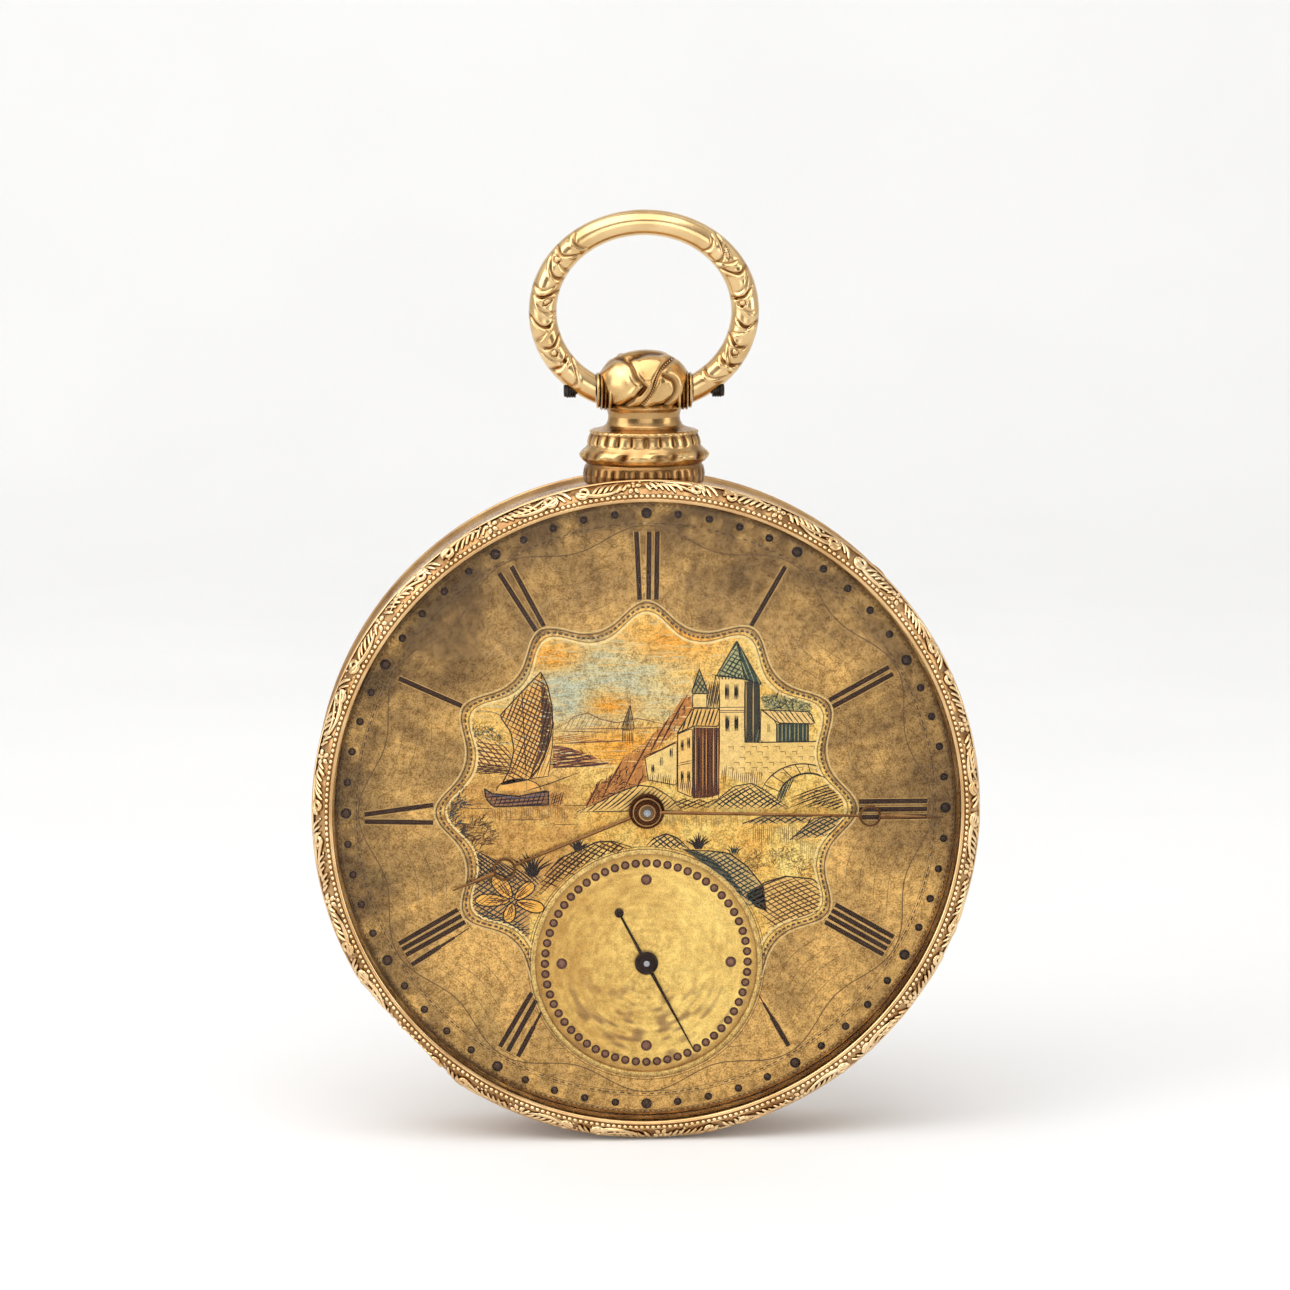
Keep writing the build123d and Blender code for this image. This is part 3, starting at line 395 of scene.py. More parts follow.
def circled(name, centre, light, dark, pitch_mm=0.09, rough=0.24):
    """Metal with fine circular graining about a centre given on the bench."""
    s = Shader(name)
    shift = tuple(-v for v in place([centre])[0])
    moved = s.node("ShaderNodeMapping", in_Vector=s.where, in_Location=shift).outputs["Vector"]
    rings = s.node(
        "ShaderNodeTexWave",
        wave_type="RINGS",
        rings_direction="Y",
        in_Vector=moved,
        in_Scale=1 / (pitch_mm * MM * 3.14),
        in_Distortion=0.4,
    )
    grain = s.math("ADD", s.math("MULTIPLY", rings.outputs["Fac"], 0.6), s.noise(0.1))
    tone = s.colours(s.spread(s.noise(1.2), 0.3, 0.7), light, dark)
    s.skin_set(Base_Color=s.shade(tone, 0.4, (60, 40, 20), 0.6), Metallic=1.0)
    s.skin_set(Roughness=s.spread(s.noise(0.4), 0.3, 0.7, rough, rough + 0.12))
    s.skin_set(Normal=s.bump(grain, 0.004, 0.5, s.rounded(0.025)))
    return s.material


def steel(name, light=(178, 178, 182), dark=(120, 120, 126), rough=0.2, edge=0.03):
    """Ground and polished steel, slightly grained along one way."""
    s = Shader(name)
    grain = s.noise(0.05, 2, stretch=(1, 1, 0.12))
    tone = s.colours(s.spread(s.noise(0.8), 0.3, 0.7), light, dark)
    s.skin_set(Base_Color=s.shade(tone, 0.3, (30, 28, 28), 0.5), Metallic=1.0)
    s.skin_set(Roughness=s.spread(grain, 0.3, 0.7, rough - 0.05, rough + 0.14))
    s.skin_set(Normal=s.bump(grain, 0.004, 0.5, s.rounded(edge)))
    return s.material


def blued(name):
    """Heat-blued steel that shades from blue to purple."""
    s = Shader(name)
    tone = s.colours(s.spread(s.noise(0.7), 0.35, 0.65), (24, 40, 110), (52, 34, 96))
    s.skin_set(Base_Color=tone, Metallic=1.0, Roughness=s.spread(s.noise(0.2), 0.3, 0.7, 0.14, 0.26))
    s.skin_set(Normal=s.bump(s.noise(0.06, 2), 0.003, 0.4, s.rounded(0.03)))
    return s.material


def iron(name):
    """Rough dark screws."""
    s = Shader(name)
    tone = s.colours(s.spread(s.noise(0.25), 0.35, 0.65), (74, 70, 66), (44, 36, 32))
    s.skin_set(Base_Color=s.shade(tone, 0.2, (16, 12, 10), 0.8), Metallic=0.9)
    s.skin_set(Roughness=s.spread(s.noise(0.12), 0.3, 0.7, 0.32, 0.5))
    s.skin_set(Normal=s.bump(s.noise(0.1, 4), 0.03, 0.8, s.rounded(0.05)))
    return s.material


def ruby(name):
    """Polished red jewel."""
    s = Shader(name)
    tone = s.colours(s.spread(s.noise(0.4), 0.3, 0.7), (170, 16, 42), (110, 4, 24))
    s.skin_set(Base_Color=tone, Roughness=s.spread(s.noise(0.1), 0.3, 0.7, 0.03, 0.1), IOR=1.76)
    s.skin_set(Transmission_Weight=0.45, Normal=s.bump(s.noise(0.3), 0.002, 0.3, s.rounded(0.03)))
    return s.material


def glass(name):
    """Clear crystal that lets light reach the dial, with a faint haze of fine wear."""
    s = Shader(name)
    haze = s.spread(s.noise(1.5, 5), 0.45, 0.8, 0.0, 0.05)
    s.skin_set(Base_Color=(0.97, 0.985, 0.98, 1), Transmission_Weight=1.0, IOR=1.46, Roughness=haze)
    s.skin_set(Normal=s.bump(s.noise(6.0, 2), 0.01, 0.1))
    clear = s.node("ShaderNodeBsdfTransparent", in_Color=(0.99, 0.995, 0.99, 1))
    reflect = s.node("ShaderNodeBsdfGlossy", in_Roughness=0.03, in_Color=(1, 1, 1, 1))
    thin = s.node("ShaderNodeLayerWeight", in_Blend=0.18)
    film = s.node("ShaderNodeMixShader")
    s.set(film.inputs[0], s.math("MULTIPLY", thin.outputs["Fresnel"], 0.45))
    s.set(film.inputs[1], clear.outputs[0])
    s.set(film.inputs[2], reflect.outputs[0])
    rays = s.node("ShaderNodeLightPath")
    normal = s.node("ShaderNodeNewGeometry").outputs["Normal"]
    own = s.node("ShaderNodeVectorTransform", vector_type="NORMAL", convert_from="WORLD", convert_to="OBJECT")
    s.set(own.inputs["Vector"], normal)
    facing = s.math("ABSOLUTE", s.node("ShaderNodeSeparateXYZ", in_Vector=own.outputs["Vector"]).outputs["Y"])
    on_rim = s.spread(facing, 0.75, 0.9, 1.0, 0.0)
    seen = s.math("MULTIPLY", rays.outputs["Is Camera Ray"], on_rim)
    both = s.node("ShaderNodeMixShader")
    s.set(both.inputs[0], seen)
    s.set(both.inputs[1], film.outputs[0])
    s.set(both.inputs[2], s.skin.outputs[0])
    s.set(s.tree.nodes["Material Output"].inputs["Surface"], both.outputs[0])
    return s.material


def painted(name, metallic=0.9, rough=(0.34, 0.5), grain=None, reach=0.3, wear_and_shade=0.4, bump_mm=0.01,
    speckle=0.45):
    """Metal coloured by each point's own tone, for the dial and its engraving."""
    s = Shader(name)
    tone = s.node("ShaderNodeAttribute", attribute_name="tone").outputs["Color"]
    speck = s.math("ADD", s.math("MULTIPLY", s.noise(0.11, 3), 0.6), s.math("MULTIPLY", s.noise(0.5, 3), 0.4))
    darker = s.times(tone, s.colours(s.spread(speck, 0.38, 0.58), (152, 136, 116), (255, 255, 255)), speckle)
    # Hollows darken towards a deep brown: painted shade, with dirt.
    s.skin_set(Base_Color=s.shade(darker, reach, (52, 34, 18), wear_and_shade), Metallic=metallic)
    s.skin_set(Roughness=s.spread(s.noise(0.6, 4), 0.3, 0.7, *rough))
    height = s.noise(0.12, 4)
    if grain is not None:
        height = s.math("ADD", height, s.math("MULTIPLY", grain(s), 0.4))
    s.skin_set(Normal=s.bump(height, bump_mm, 0.7))
    return s.material


def guilloche(s):
    """Fine engine-turned waves that follow the lobed outline of the middle."""
    axes = s.node("ShaderNodeSeparateXYZ", in_Vector=s.where).outputs
    x, z = axes["X"], axes["Z"]
    radius = s.math("SQRT", s.math("ADD", s.math("MULTIPLY", x, x), s.math("MULTIPLY", z, z)))
    angle = s.math("ARCTAN2", x, z)
    wave = s.math("MULTIPLY", s.math("COSINE", s.math("MULTIPLY", angle, LOBES)), 0.6 * MM)
    turns = s.math("MULTIPLY", s.math("SUBTRACT", radius, wave), 2 * math.pi / (0.26 * MM))
    grains = s.math("SINE", s.math("MULTIPLY", angle, 400.0))
    return s.math("MULTIPLY", s.math("SINE", turns), s.math("ADD", s.math("MULTIPLY", grains, 0.5), 0.5))


# ------------------------------------------------------------------ dial ground
def reserve_radius(angle):
    """Edge of the engraved middle; angle is in radians from 12 o'clock."""
    wave = np.cos(LOBES * np.asarray(angle, float))
    return RESERVE_R + RESERVE_LOBE * (wave + 0.12 * np.cos(2 * LOBES * np.asarray(angle, float)))


def in_picture(x, y, margin=0.0):
    """Whether a point lies in the engraved middle, outside the seconds dial."""
    x, y = np.asarray(x, float), np.asarray(y, float)
    inside = np.hypot(x, y) < reserve_radius(np.arctan2(x, y)) - 0.3 - margin
    return inside & (np.hypot(x, y - SUB_Y) > WELL_R + 0.32 + margin)


def chapter_tone(x, y):
    """Colour of the ring that carries the numerals: brown tarnish over dull gold in clouds, with painted
    sheen in rays and broad sectors, and painted light that grows towards the bottom.
    """
    angle, radius = np.arctan2(x, y), np.hypot(x, y)
    # Rays and broad sectors round the centre are painted sheen.
    ray = blotches(np.degrees(angle), radius * 0.05, 2.2, 13) * 0.6 + blotches(np.degrees(angle),
        radius * 0.05, 0.9, 14) * 0.4
    broad = 0.5 + 0.5 * np.cos(6 * angle + 1.1 + 0.8 * np.sin(3 * angle))
    cloud = 0.5 * blotches(x, y, 3.1, 4) + 0.3 * blotches(x, y, 1.3, 3) + 0.2 * blotches(x, y, 0.5, 15)
    # Lighter towards the bottom: painted light.
    low = np.clip((4 - y) / 24, 0, 1)
    clean_and_lit = 0.1 + 0.26 * broad + 0.5 * ray + 1.05 * (cloud - 0.5) + 0.6 * low
    tone = mix((122, 94, 60), (236, 188, 112), clean_and_lit)
    inner = np.clip((16.8 - radius) / 3, 0, 1) * blotches(x, y, 1.6, 16)
    tone = mix(tone, (246, 196, 118), 0.4 * inner)
    stain = np.clip((radius - 17.0) / 3.0, 0, 1) * np.clip(1.6 * blotches(x, y, 1.3, 5) + 0.8 * blotches(x,
        y, 0.45, 17) - 0.6, 0, 1)
    tone = mix(tone, (104, 80, 54), 0.8 * stain * np.clip(0.62 + y / 40 - x / 60, 0.2, 1))
    green = np.clip(-x / 22, 0, 1) * np.clip((radius - 15.5) / 3, 0,
        1) * np.clip(1.8 * blotches(x, y, 2.2, 18) - 0.8, 0, 1)
    return mix(tone, (98, 84, 58), 0.55 * green)


def picture_tone(x, y):
    """Colour of the ground under the engraved view: coloured sky above, gold below."""
    cloudy = 0.6 * blotches(x, y, 1.6, 8) + 0.4 * blotches(x, y, 0.5, 19)
    land = mix((244, 184, 88), (255, 226, 138), 1.2 * cloudy - 0.05)
    water = np.clip((3.0 - x * 0.5 - np.abs(y + 0.6) * 0.9) / 3, 0, 1) * np.clip((-3.0 - x) / 3, 0, 1)
    land = mix(land, (208, 156, 88), 0.75 * water * (0.5 + blotches(x * 0.4, y * 3, 0.7, 20)))
    streak = blotches(x * 0.35, y * 1.7, 1.0, 9) * 0.6 + blotches(x * 0.5, y * 2.5, 0.6, 10) * 0.4
    cloud = np.clip(1.5 - np.hypot((x + 3.6) / 5.2, (y - 8.6) / 3.0), 0, 1) * (0.35 + streak)
    cloud = np.maximum(cloud, np.clip(1.3 - np.hypot((x - 1.5) / 4.5, (y - 7.0) / 1.6), 0, 1) * streak)
    sky = mix((255, 202, 102), (252, 210, 136), streak)
    sky = mix(sky, (200, 202, 176), 0.95 * cloud)
    glow = np.clip(1.2 - np.hypot((x + 2.4) / 2.2, (y - 7.2) / 1.0), 0, 1)
    glow = np.maximum(glow, np.clip(1.2 - np.hypot((x + 6.4) / 2.6, (y - 10.6) / 1.3), 0, 1))
    glow = np.maximum(glow, np.clip(1.2 - np.hypot((x + 1.6) / 3.4, (y - 4.4) / 1.6), 0, 1))
    glow = np.maximum(glow, 0.8 * np.clip(1.2 - np.hypot((x - 2.0) / 4.6, (y - 11.6) / 1.6), 0, 1))
    sky = mix(sky, (255, 166, 46), 1.0 * glow * (0.5 + 0.5 * streak))
    return mix(land, sky, np.clip((y - 1.8) / 1.8, 0, 1) * np.clip((9.5 - x) / 6, 0.3, 1))


def dial_ground():
    """The dial plate: a disc around the off-centre seconds opening, with its raised rim."""
    rim = [(WELL_R, -0.4), (WELL_R, 0.03), (WELL_R + 0.07, 0.06), (WELL_R + 0.22, 0.06), (WELL_R + 0.3, 0.0)]

    def surface(u, v):
        angle = u * 2 * np.pi
        share = (v - WELL_RIM_SHARE) / (1 - WELL_RIM_SHARE)
        outer = np.clip(share, 0, 1)
        along_rim = v / WELL_RIM_SHARE
        rim_steps = np.linspace(0, 1, len(rim))
        rim_r = np.interp(along_rim, rim_steps, [p[0] for p in rim])
        inner_r = np.where(share < 0, rim_r, rim[-1][0])
        lift = np.where(share < 0, np.interp(along_rim, rim_steps, [p[1] for p in rim]), 0.0)
        x = inner_r * np.cos(angle) * (1 - outer) + DIAL_R * np.cos(angle) * outer
        y = (SUB_Y + inner_r * np.sin(angle)) * (1 - outer) + DIAL_R * np.sin(angle) * outer
        sink = 0.35 * np.clip((np.hypot(x, y) - (DIAL_R - 0.35)) / 0.35, 0, 1) ** 3
        return x, y, DIAL_TOP + lift - 0.2 * sink

    points, faces = sheet(surface, 720, 150, True, False)
    x, y = points.T[:2]
    tone = np.where(in_picture(x, y, -0.3)[:, None], picture_tone(x, y), chapter_tone(x, y))
    ring = np.abs(np.hypot(x, y - SUB_Y) - (WELL_R + 0.15)) < 0.2
    tone[ring] = (236, 200, 126)
    plate = Piece()
    plate.add(points, faces, tone)
    edge = [(DIAL_R, DIAL_TOP - 0.07), (DIAL_R, PLATE_BACK), (2.0, PLATE_BACK)]
    plate.add(*turned(edge, 120, closed=False), tone=(120, 96, 60))
    look = painted("dial_face", rough=(0.34, 0.52), grain=guilloche, bump_mm=0.014, speckle=0.85)
    return plate.build("dial_plate", "case", "dial_gold", look, outward=False)


def seconds_ground():
    """The sunk seconds dial, slightly dished, with fine turned grooves."""

    def surface(u, v):
        r = 0.5 + v * (SUB_HIGH[0] - 0.5)
        groove = 0.006 * np.sin(2 * np.pi * r / 0.45) * (r < 5.0)
        return r * np.cos(2 * np.pi * u), SUB_Y + r * np.sin(2 * np.pi * u), SUB_TOP + groove

    points, faces = sheet(surface, 360, 110, True, False)
    x, y, _ = points.T
    angle, radius = np.arctan2(y - SUB_Y, x), np.hypot(x, y - SUB_Y)
    arcs = 0.6 * blotches(angle * 2.2, radius, 0.22, 21) + 0.4 * blotches(x, y, 1.6, 23)
    tone = mix((208, 162, 88), (255, 218, 128), 0.1 + 1.0 * arcs - 0.7 * np.clip(-x / 8, -0.3, 1))
    low = np.clip((SUB_Y - y) / 4, 0, 1) * np.clip((blotches(angle * 1.6, radius, 0.3, 22) - 0.55) / 0.3, 0,
        1)
    tone = mix(tone, (128, 92, 66), 0.6 * low)
    # Darker near the edge, at the foot of the well's wall: painted shade.
    tone = mix(tone, (178, 132, 74), np.clip((np.hypot(x, y - SUB_Y) - 6.9) / 0.8, 0, 0.7))
    plate = Piece()
    plate.add(points, faces, tone)
    plate.add(*turned([(0.5, SUB_TOP), (0.5, SUB_LOW[2]), (SUB_HIGH[0], SUB_LOW[2])], 90, at=(0, SUB_Y),
        closed=False))
    look = painted("seconds_face", rough=(0.34, 0.46), bump_mm=0.006)
    return plate.build("seconds_plate", "case", "seconds_gold", look, outward=False)


# ------------------------------------------------------------------ engraving
INK = (40, 26, 22)
RUST = (88, 42, 20)
TEAL = (34, 56, 54)
PALE = (244, 208, 130)


class Engraving(Piece):
    """Cut lines: low ribbons with a crest along the middle, kept inside a window."""

    def __init__(self, z=ENGRAVING_Z, window=in_picture):
        super().__init__()
        self.z, self.window, self.crest = z, window, 1.0

    def line(self, path, width=0.09, tone=INK, taper=0.35, smooth=False):
        p = np.asarray(path, float)
        run = np.r_[0, np.cumsum(np.hypot(*np.diff(p, axis=0).T))]
        if run[-1] < 0.02:
            return
        n = max(2, int(run[-1] / 0.3) + 1)
        if smooth:
            n *= 2
        s = np.linspace(0, run[-1], n)
        x, y = np.interp(s, run, p[:, 0]), np.interp(s, run, p[:, 1])
        kept = self.window(x, y) if self.window else np.ones(n, bool)
        start = 0
        while start < n:
            if not kept[start]:
                start += 1
                continue
            stop = start
            while stop < n and kept[stop]:
                stop += 1
            if stop - start >= 2:
                self.ribbon(x[start:stop], y[start:stop], s[start:stop] / run[-1], width, tone, taper)
            start = stop

    def ribbon(self, x, y, share, width, tone, taper):
        dx, dy = np.gradient(x), np.gradient(y)
        size = np.hypot(dx, dy) + 1e-9
        nx, ny = -dy / size, dx / size
        half = width / 2 * np.clip(np.minimum(share, 1 - share) / 0.22, taper, 1)
        z = np.full(len(x), self.z)
        left = np.stack([x + nx * half, y + ny * half, z], 1)
        right = np.stack([x - nx * half, y - ny * half, z], 1)
        crest = np.stack([x, y, z + min(0.02, width * 0.12) * self.crest], 1)
        points = np.stack([left, crest, right], 1).reshape(-1, 3)
        faces = []
        for i in range(len(x) - 1):
            a, b = i * 3, i * 3 + 3
            faces += [(a, a + 1, b + 1, b), (a + 1, a + 2, b + 2, b + 1)]
        self.add(points, faces, tone)

    def lines(self, *paths, **style):
        for path in paths:
            self.line(path, **style)

    def loop(self, path, **style):
        self.line([*path, path[0]], taper=1.0, **style)

    def fill(self, outline, tone, lift=-0.003):
        """A flat patch of colour under the lines, drawn in to the edge of the picture."""
        pinned = []
        for a, b in zip(outline, outline[1:] + outline[:1]):
            parts = max(1, int(math.dist(a, b) / 0.25))
            pinned += [keep_in(a[0] + (b[0] - a[0]) * t / parts,
                a[1] + (b[1] - a[1]) * t / parts) for t in range(parts)]
        triangles = tessellate_polygon([[Vector((x, y, 0)) for x, y in pinned]])
        self.add([(x, y, self.z + lift) for x, y in pinned], triangles, tone)

    def hatch(self, outline, degrees, gap, width=0.08, tone=INK, bend=0.0, rag=0.15, drop=0.0):
        """Parallel lines across a shape; bend bows them, rag makes the ends uneven, drop leaves some out."""
        c, s = math.cos(math.radians(degrees)), math.sin(math.radians(degrees))
        turned_outline = [(x * c + y * s, -x * s + y * c) for x, y in outline]
        low, high = min(q for _, q in turned_outline), max(q for _, q in turned_outline)
        level = low + gap / 2
        while level < high:
            crossings = []
            for (x1, y1), (x2, y2) in zip(turned_outline, turned_outline[1:] + turned_outline[:1]):
                if (y1 > level) != (y2 > level):
                    crossings.append(x1 + (x2 - x1) * (level - y1) / (y2 - y1))
            crossings.sort()
            for a, b in zip(crossings[::2], crossings[1::2]):
                a, b = a + chance.uniform(-rag, rag), b + chance.uniform(-rag, rag)
                if b - a > 0.1 and chance.random() >= drop:
                    wobble = chance.uniform(-0.15, 0.15) * gap
                    path = []
                    for t in (0, 0.25, 0.5, 0.75, 1):
                        along_line = a + (b - a) * t
                        across = level + wobble + bend * (b - a) * t * (1 - t)
                        path.append((along_line * c - across * s, along_line * s + across * c))
                    self.line(path, width=width * chance.uniform(0.8, 1.15), tone=tone)
            level += gap

    def tuft(self, x, y, height, blades=9, tone=INK):
        """A fan of grass."""
        for k in range(blades):
            lean = (k / (blades - 1) - 0.5) * 2
            tall = height * (1 - 0.35 * abs(lean)) * chance.uniform(0.8, 1.1)
            tip = (x + lean * height * 0.75, y + tall)
            self.line([(x + lean * 0.2, y), (x + lean * height * 0.3, y + tall * 0.6), tip], 0.11, tone, 0.2)

    def leaves(self, outline, degrees, count, length=0.5, width=0.09, tone=INK, fan=45):
        """Short lively strokes scattered through a shape, as foliage."""
        xs, ys = [p[0] for p in outline], [p[1] for p in outline]
        made = 0
        while made < count:
            x, y = chance.uniform(min(xs), max(xs)), chance.uniform(min(ys), max(ys))
            made += 1
            if not inside(outline, x, y):
                continue
            a = math.radians(degrees + chance.uniform(-fan, fan))
            long = length * chance.uniform(0.5, 1.2)
            mid = (x + math.cos(a) * long * 0.5 - 0.08, y + math.sin(a) * long * 0.5 + 0.08)
            self.line([(x, y), mid, (x + math.cos(a) * long, y + math.sin(a) * long)], width, tone, 0.3)


def keep_in(x, y):
    """Moves a point of the picture back inside its edge and off the seconds dial."""
    r, limit = math.hypot(x, y), float(reserve_radius(math.atan2(x, y))) - 0.36
    if r > limit:
        x, y = x * limit / r, y * limit / r
    gap = math.hypot(x, y - SUB_Y)
    if gap < WELL_R + 0.36:
        x, y = x * (WELL_R + 0.36) / gap, SUB_Y + (y - SUB_Y) * (WELL_R + 0.36) / gap
    return x, y


def inside(outline, x, y):
    hit = False
    for (x1, y1), (x2, y2) in zip(outline, outline[1:] + outline[:1]):
        if (y1 > y) != (y2 > y) and x < x1 + (x2 - x1) * (y - y1) / (y2 - y1):
            hit = not hit
    return hit


def arc(cx, cy, rx, ry, start, stop, steps=16):
    """Points of an elliptical arc; degrees counter-clockwise from the right."""
    angles = [math.radians(start + (stop - start) * k / steps) for k in range(steps + 1)]
    return [(cx + rx * math.cos(a), cy + ry * math.sin(a)) for a in angles]


def box(x0, y0, x1, y1):
    return [(x0, y0), (x1, y0), (x1, y1), (x0, y1)]


def engrave_sky(e):
    tones = [(206, 204, 178), (188, 196, 176), (244, 184, 86), (250, 214, 136), (214, 160, 84),
        (236, 196, 132)]
    for _ in range(900):
        x, y = chance.uniform(-13, 13), chance.uniform(3.0, 13.5)
        long = chance.uniform(0.5, 1.9)
        if x > 7 and y < 7:
            continue
        bow = chance.uniform(-0.12, 0.12)
        tone = tones[chance.randrange(6 if x < 6 else 5)]
        if x > 4 and chance.random() < 0.6:
            tone = tones[3]
        local = picture_tone(np.array([x + long / 2]), np.array([y]))[0]
        tone = mix(local, tone, np.array(0.5))
        e.line([(x, y), (x + long / 2, y + bow), (x + long, y)], chance.uniform(0.04, 0.1), tone, 0.2)


def engrave_far_shore(e):
    hills = [(-6.2, 5.6), (-5.4, 6.0), (-4.8, 6.5), (-3.9, 6.7), (-3.2, 6.3), (-2.0, 6.0), (-0.6, 6.3),
        (1.6, 5.8)]
    e.line(hills, 0.07, (126, 84, 62), 0.4, True)
    e.hatch([*hills, (1.6, 5.5), (-6.2, 5.5)], 62, 0.28, 0.045, (150, 104, 76), bend=0.1)
    e.lines([(-6.2, 5.6), (2.0, 5.65)], [(-6.2, 5.5), (-2.2, 5.35)], width=0.06, tone=(120, 80, 60))
    ridge = [(-6.2, 5.2), (-4.6, 5.3), (-3.2, 4.95), (-1.9, 4.75), (-6.2, 4.6)]
    e.hatch(ridge, 8, 0.14, 0.06, (170, 96, 50), rag=0.4)
    e.line([(-6.2, 4.62), (-1.0, 4.8)], 0.08, (110, 66, 50))
    spire = [(-1.1, 7.2), (-1.72, 5.55), (-0.8, 5.5)]
    e.hatch(spire, 82, 0.09, 0.06, INK)
    e.loop(spire, width=0.06, tone=INK)
    e.hatch(box(-1.7, 4.6, -0.85, 5.5), 90, 0.12, 0.06, RUST)
    e.line([(-1.1, 7.9), (-1.1, 7.1)], 0.05, INK)
    for k in range(5):
        e.line([(-3.0, 4.3 - 0.28 * k), (-1.2 + 0.1 * k, 4.35 - 0.28 * k)], 0.05, (190, 130, 66))


def engrave_left_shore(e):
    wood = [(-12.3, 6.0), (-11.2, 6.0), (-10.3, 5.7), (-9.3, 4.6), (-10.2, 4.7), (-12.5, 5.3)]
    e.leaves(wood, 20, 260, 0.3, 0.1, TEAL, 80)
    e.line(arc(-11.0, 5.4, 1.9, 1.5, 150, 20), 0.05, (120, 100, 84))
    bluff = [(-12.6, 5.3), (-11.4, 5.1), (-9.6, 4.6), (-8.9, 3.6), (-8.8, 2.7), (-11.8, 2.7), (-12.9, 3.4)]
    e.hatch(bluff, -12, 0.26, 0.09, (104, 60, 40), bend=-0.12)
    e.hatch(bluff, -48, 0.3, 0.09, (108, 64, 44), bend=0.1)
    e.hatch([(-12.3, 3.2), (-9.0, 3.2), (-8.9, 2.6), (-11.8, 2.6)], 4, 0.12, 0.08, INK, rag=0.3)


def engrave_right_point(e):
    point = [(-6.3, 4.5), (-5.4, 4.4), (-4.2, 4.0), (-3.3, 3.6), (-2.5, 3.2), (-3.6, 3.05), (-6.3, 2.95)]
    e.fill(point, (150, 92, 62), -0.004)
    e.hatch(point, 8, 0.22, 0.1, (70, 38, 36), rag=0.25)
    e.leaves(point, 150, 90, 0.35, 0.1, INK, 30)
    e.line([(-6.4, 2.95), (-2.2, 3.25)], 0.07, INK)


def engrave_boat(e):
    sail = [(-7.1, 9.5), (-6.65, 8.6), (-6.35, 7.2), (-6.3, 6.0), (-6.5, 4.8), (-6.9, 3.6), (-7.4, 2.7),
        (-7.9, 2.2)]
    sail += [(-9.75, 1.85), (-9.2, 2.9), (-8.9, 4.2), (-9.1, 5.4), (-9.85, 6.55), (-8.9, 7.6)]
    e.fill(sail, (240, 184, 96))
    e.hatch(sail, 68, 0.27, 0.1, (88, 46, 26), bend=-0.05, rag=0.03)
    e.hatch(sail, -30, 0.3, 0.1, (96, 54, 32), bend=0.06, rag=0.03)
    shade = [(-7.1, 9.5), (-6.3, 6.8), (-6.6, 4.6), (-7.9, 2.2), (-7.2, 4.4), (-7.05, 6.6)]
    e.fill(shade, (120, 76, 44), -0.002)
    e.hatch(shade, 76, 0.24, 0.1, INK, bend=-0.03, rag=0.03)
    e.hatch(shade, -24, 0.26, 0.09, TEAL, rag=0.02)
    e.loop(sail, width=0.09, tone=INK)
    jib = [(-6.25, 6.1), (-6.35, 4.3), (-6.6, 2.4), (-7.9, 2.25), (-7.2, 3.1), (-6.7, 4.2)]
    e.fill(jib, (244, 190, 104))
    e.hatch(jib, 70, 0.22, 0.05, RUST)
    e.loop(jib, width=0.06, tone=INK)
    e.lines([(-8.45, 9.8), (-8.3, 6.8), (-8.05, 1.5)], [(-8.45, 9.0), (-9.0, 7.5)], width=0.07, tone=INK)
    e.line([(-8.3, 1.35), (-6.4, 1.95), (-4.5, 2.65)], 0.07, INK)
    cabin = arc(-8.6, 1.45, 1.5, 0.8, 0, 180)
    e.fill(cabin, (238, 178, 90))
    e.line(cabin, 0.07, INK, 1.0)
    hull = [(-10.9, 1.6), (-10.4, 1.25), (-8.6, 1.05), (-6.6, 1.45), (-6.6, 0.45), (-10.3, 0.35),
        (-10.8, 0.9)]
    e.fill(hull, (150, 104, 70))
    e.hatch(hull, 4, 0.24, 0.12, (52, 34, 42), rag=0.02)
    e.hatch(hull, 70, 0.3, 0.08, INK, rag=0.02)
    e.loop(hull, width=0.1, tone=INK)
    e.line([(-10.8, 1.28), (-8.6, 0.88), (-6.6, 1.2)], 0.1, (86, 88, 110))
    barge = box(-6.5, 0.5, -5.6, 1.25)
    e.fill(barge, (196, 138, 70))
    e.hatch(barge, 75, 0.14, 0.07, INK)
    e.hatch(barge, 20, 0.2, 0.06, INK)
    for k in range(34):
        x = -10.5 + k * 0.15
        e.line([(x, 0.3), (x + 0.02, chance.uniform(-0.75, -0.1))], 0.05, (132, 96, 58), 0.2)
    for x, y, long in ((-12.0, 0.55, 1.1), (-12.1, 0.25, 1.7), (-9.6, -0.55, 2.6), (-6.3, -0.9, 1.6),
        (-5.6, 0.4, 1.9)):
        e.line([(x, y), (x + long, y)], 0.06, (116, 84, 52), 0.2)


def engrave_wooded_slope(e):
    slope = [(-4.3, 0.3), (-3.3, 1.8), (-2.2, 2.5), (-1.5, 3.7), (-0.3, 4.5), (0.6, 5.4), (1.6, 6.4),
        (2.4, 7.7)]
    slope += [(3.0, 7.9), (3.1, 6.8), (2.1, 5.4), (0.6, 4.2), (-0.15, 3.5), (0.0, 2.0), (-1.4, 1.5),
        (-2.6, 0.7)]
    e.fill(slope, (196, 128, 62), -0.004)
    e.hatch(slope, 62, 0.34, 0.12, RUST, bend=0.05, rag=0.4, drop=0.35)
    e.leaves(slope, 62, 420, 0.36, 0.13, (60, 30, 20), 40)
    e.leaves(slope, 62, 150, 0.34, 0.1, (244, 178, 84), 40)
    e.leaves([(-4.3, 0.3), (-3.3, 1.8), (-1.5, 2.9), (-1.0, 1.3)], 20, 160, 0.5, 0.09, INK, 60)


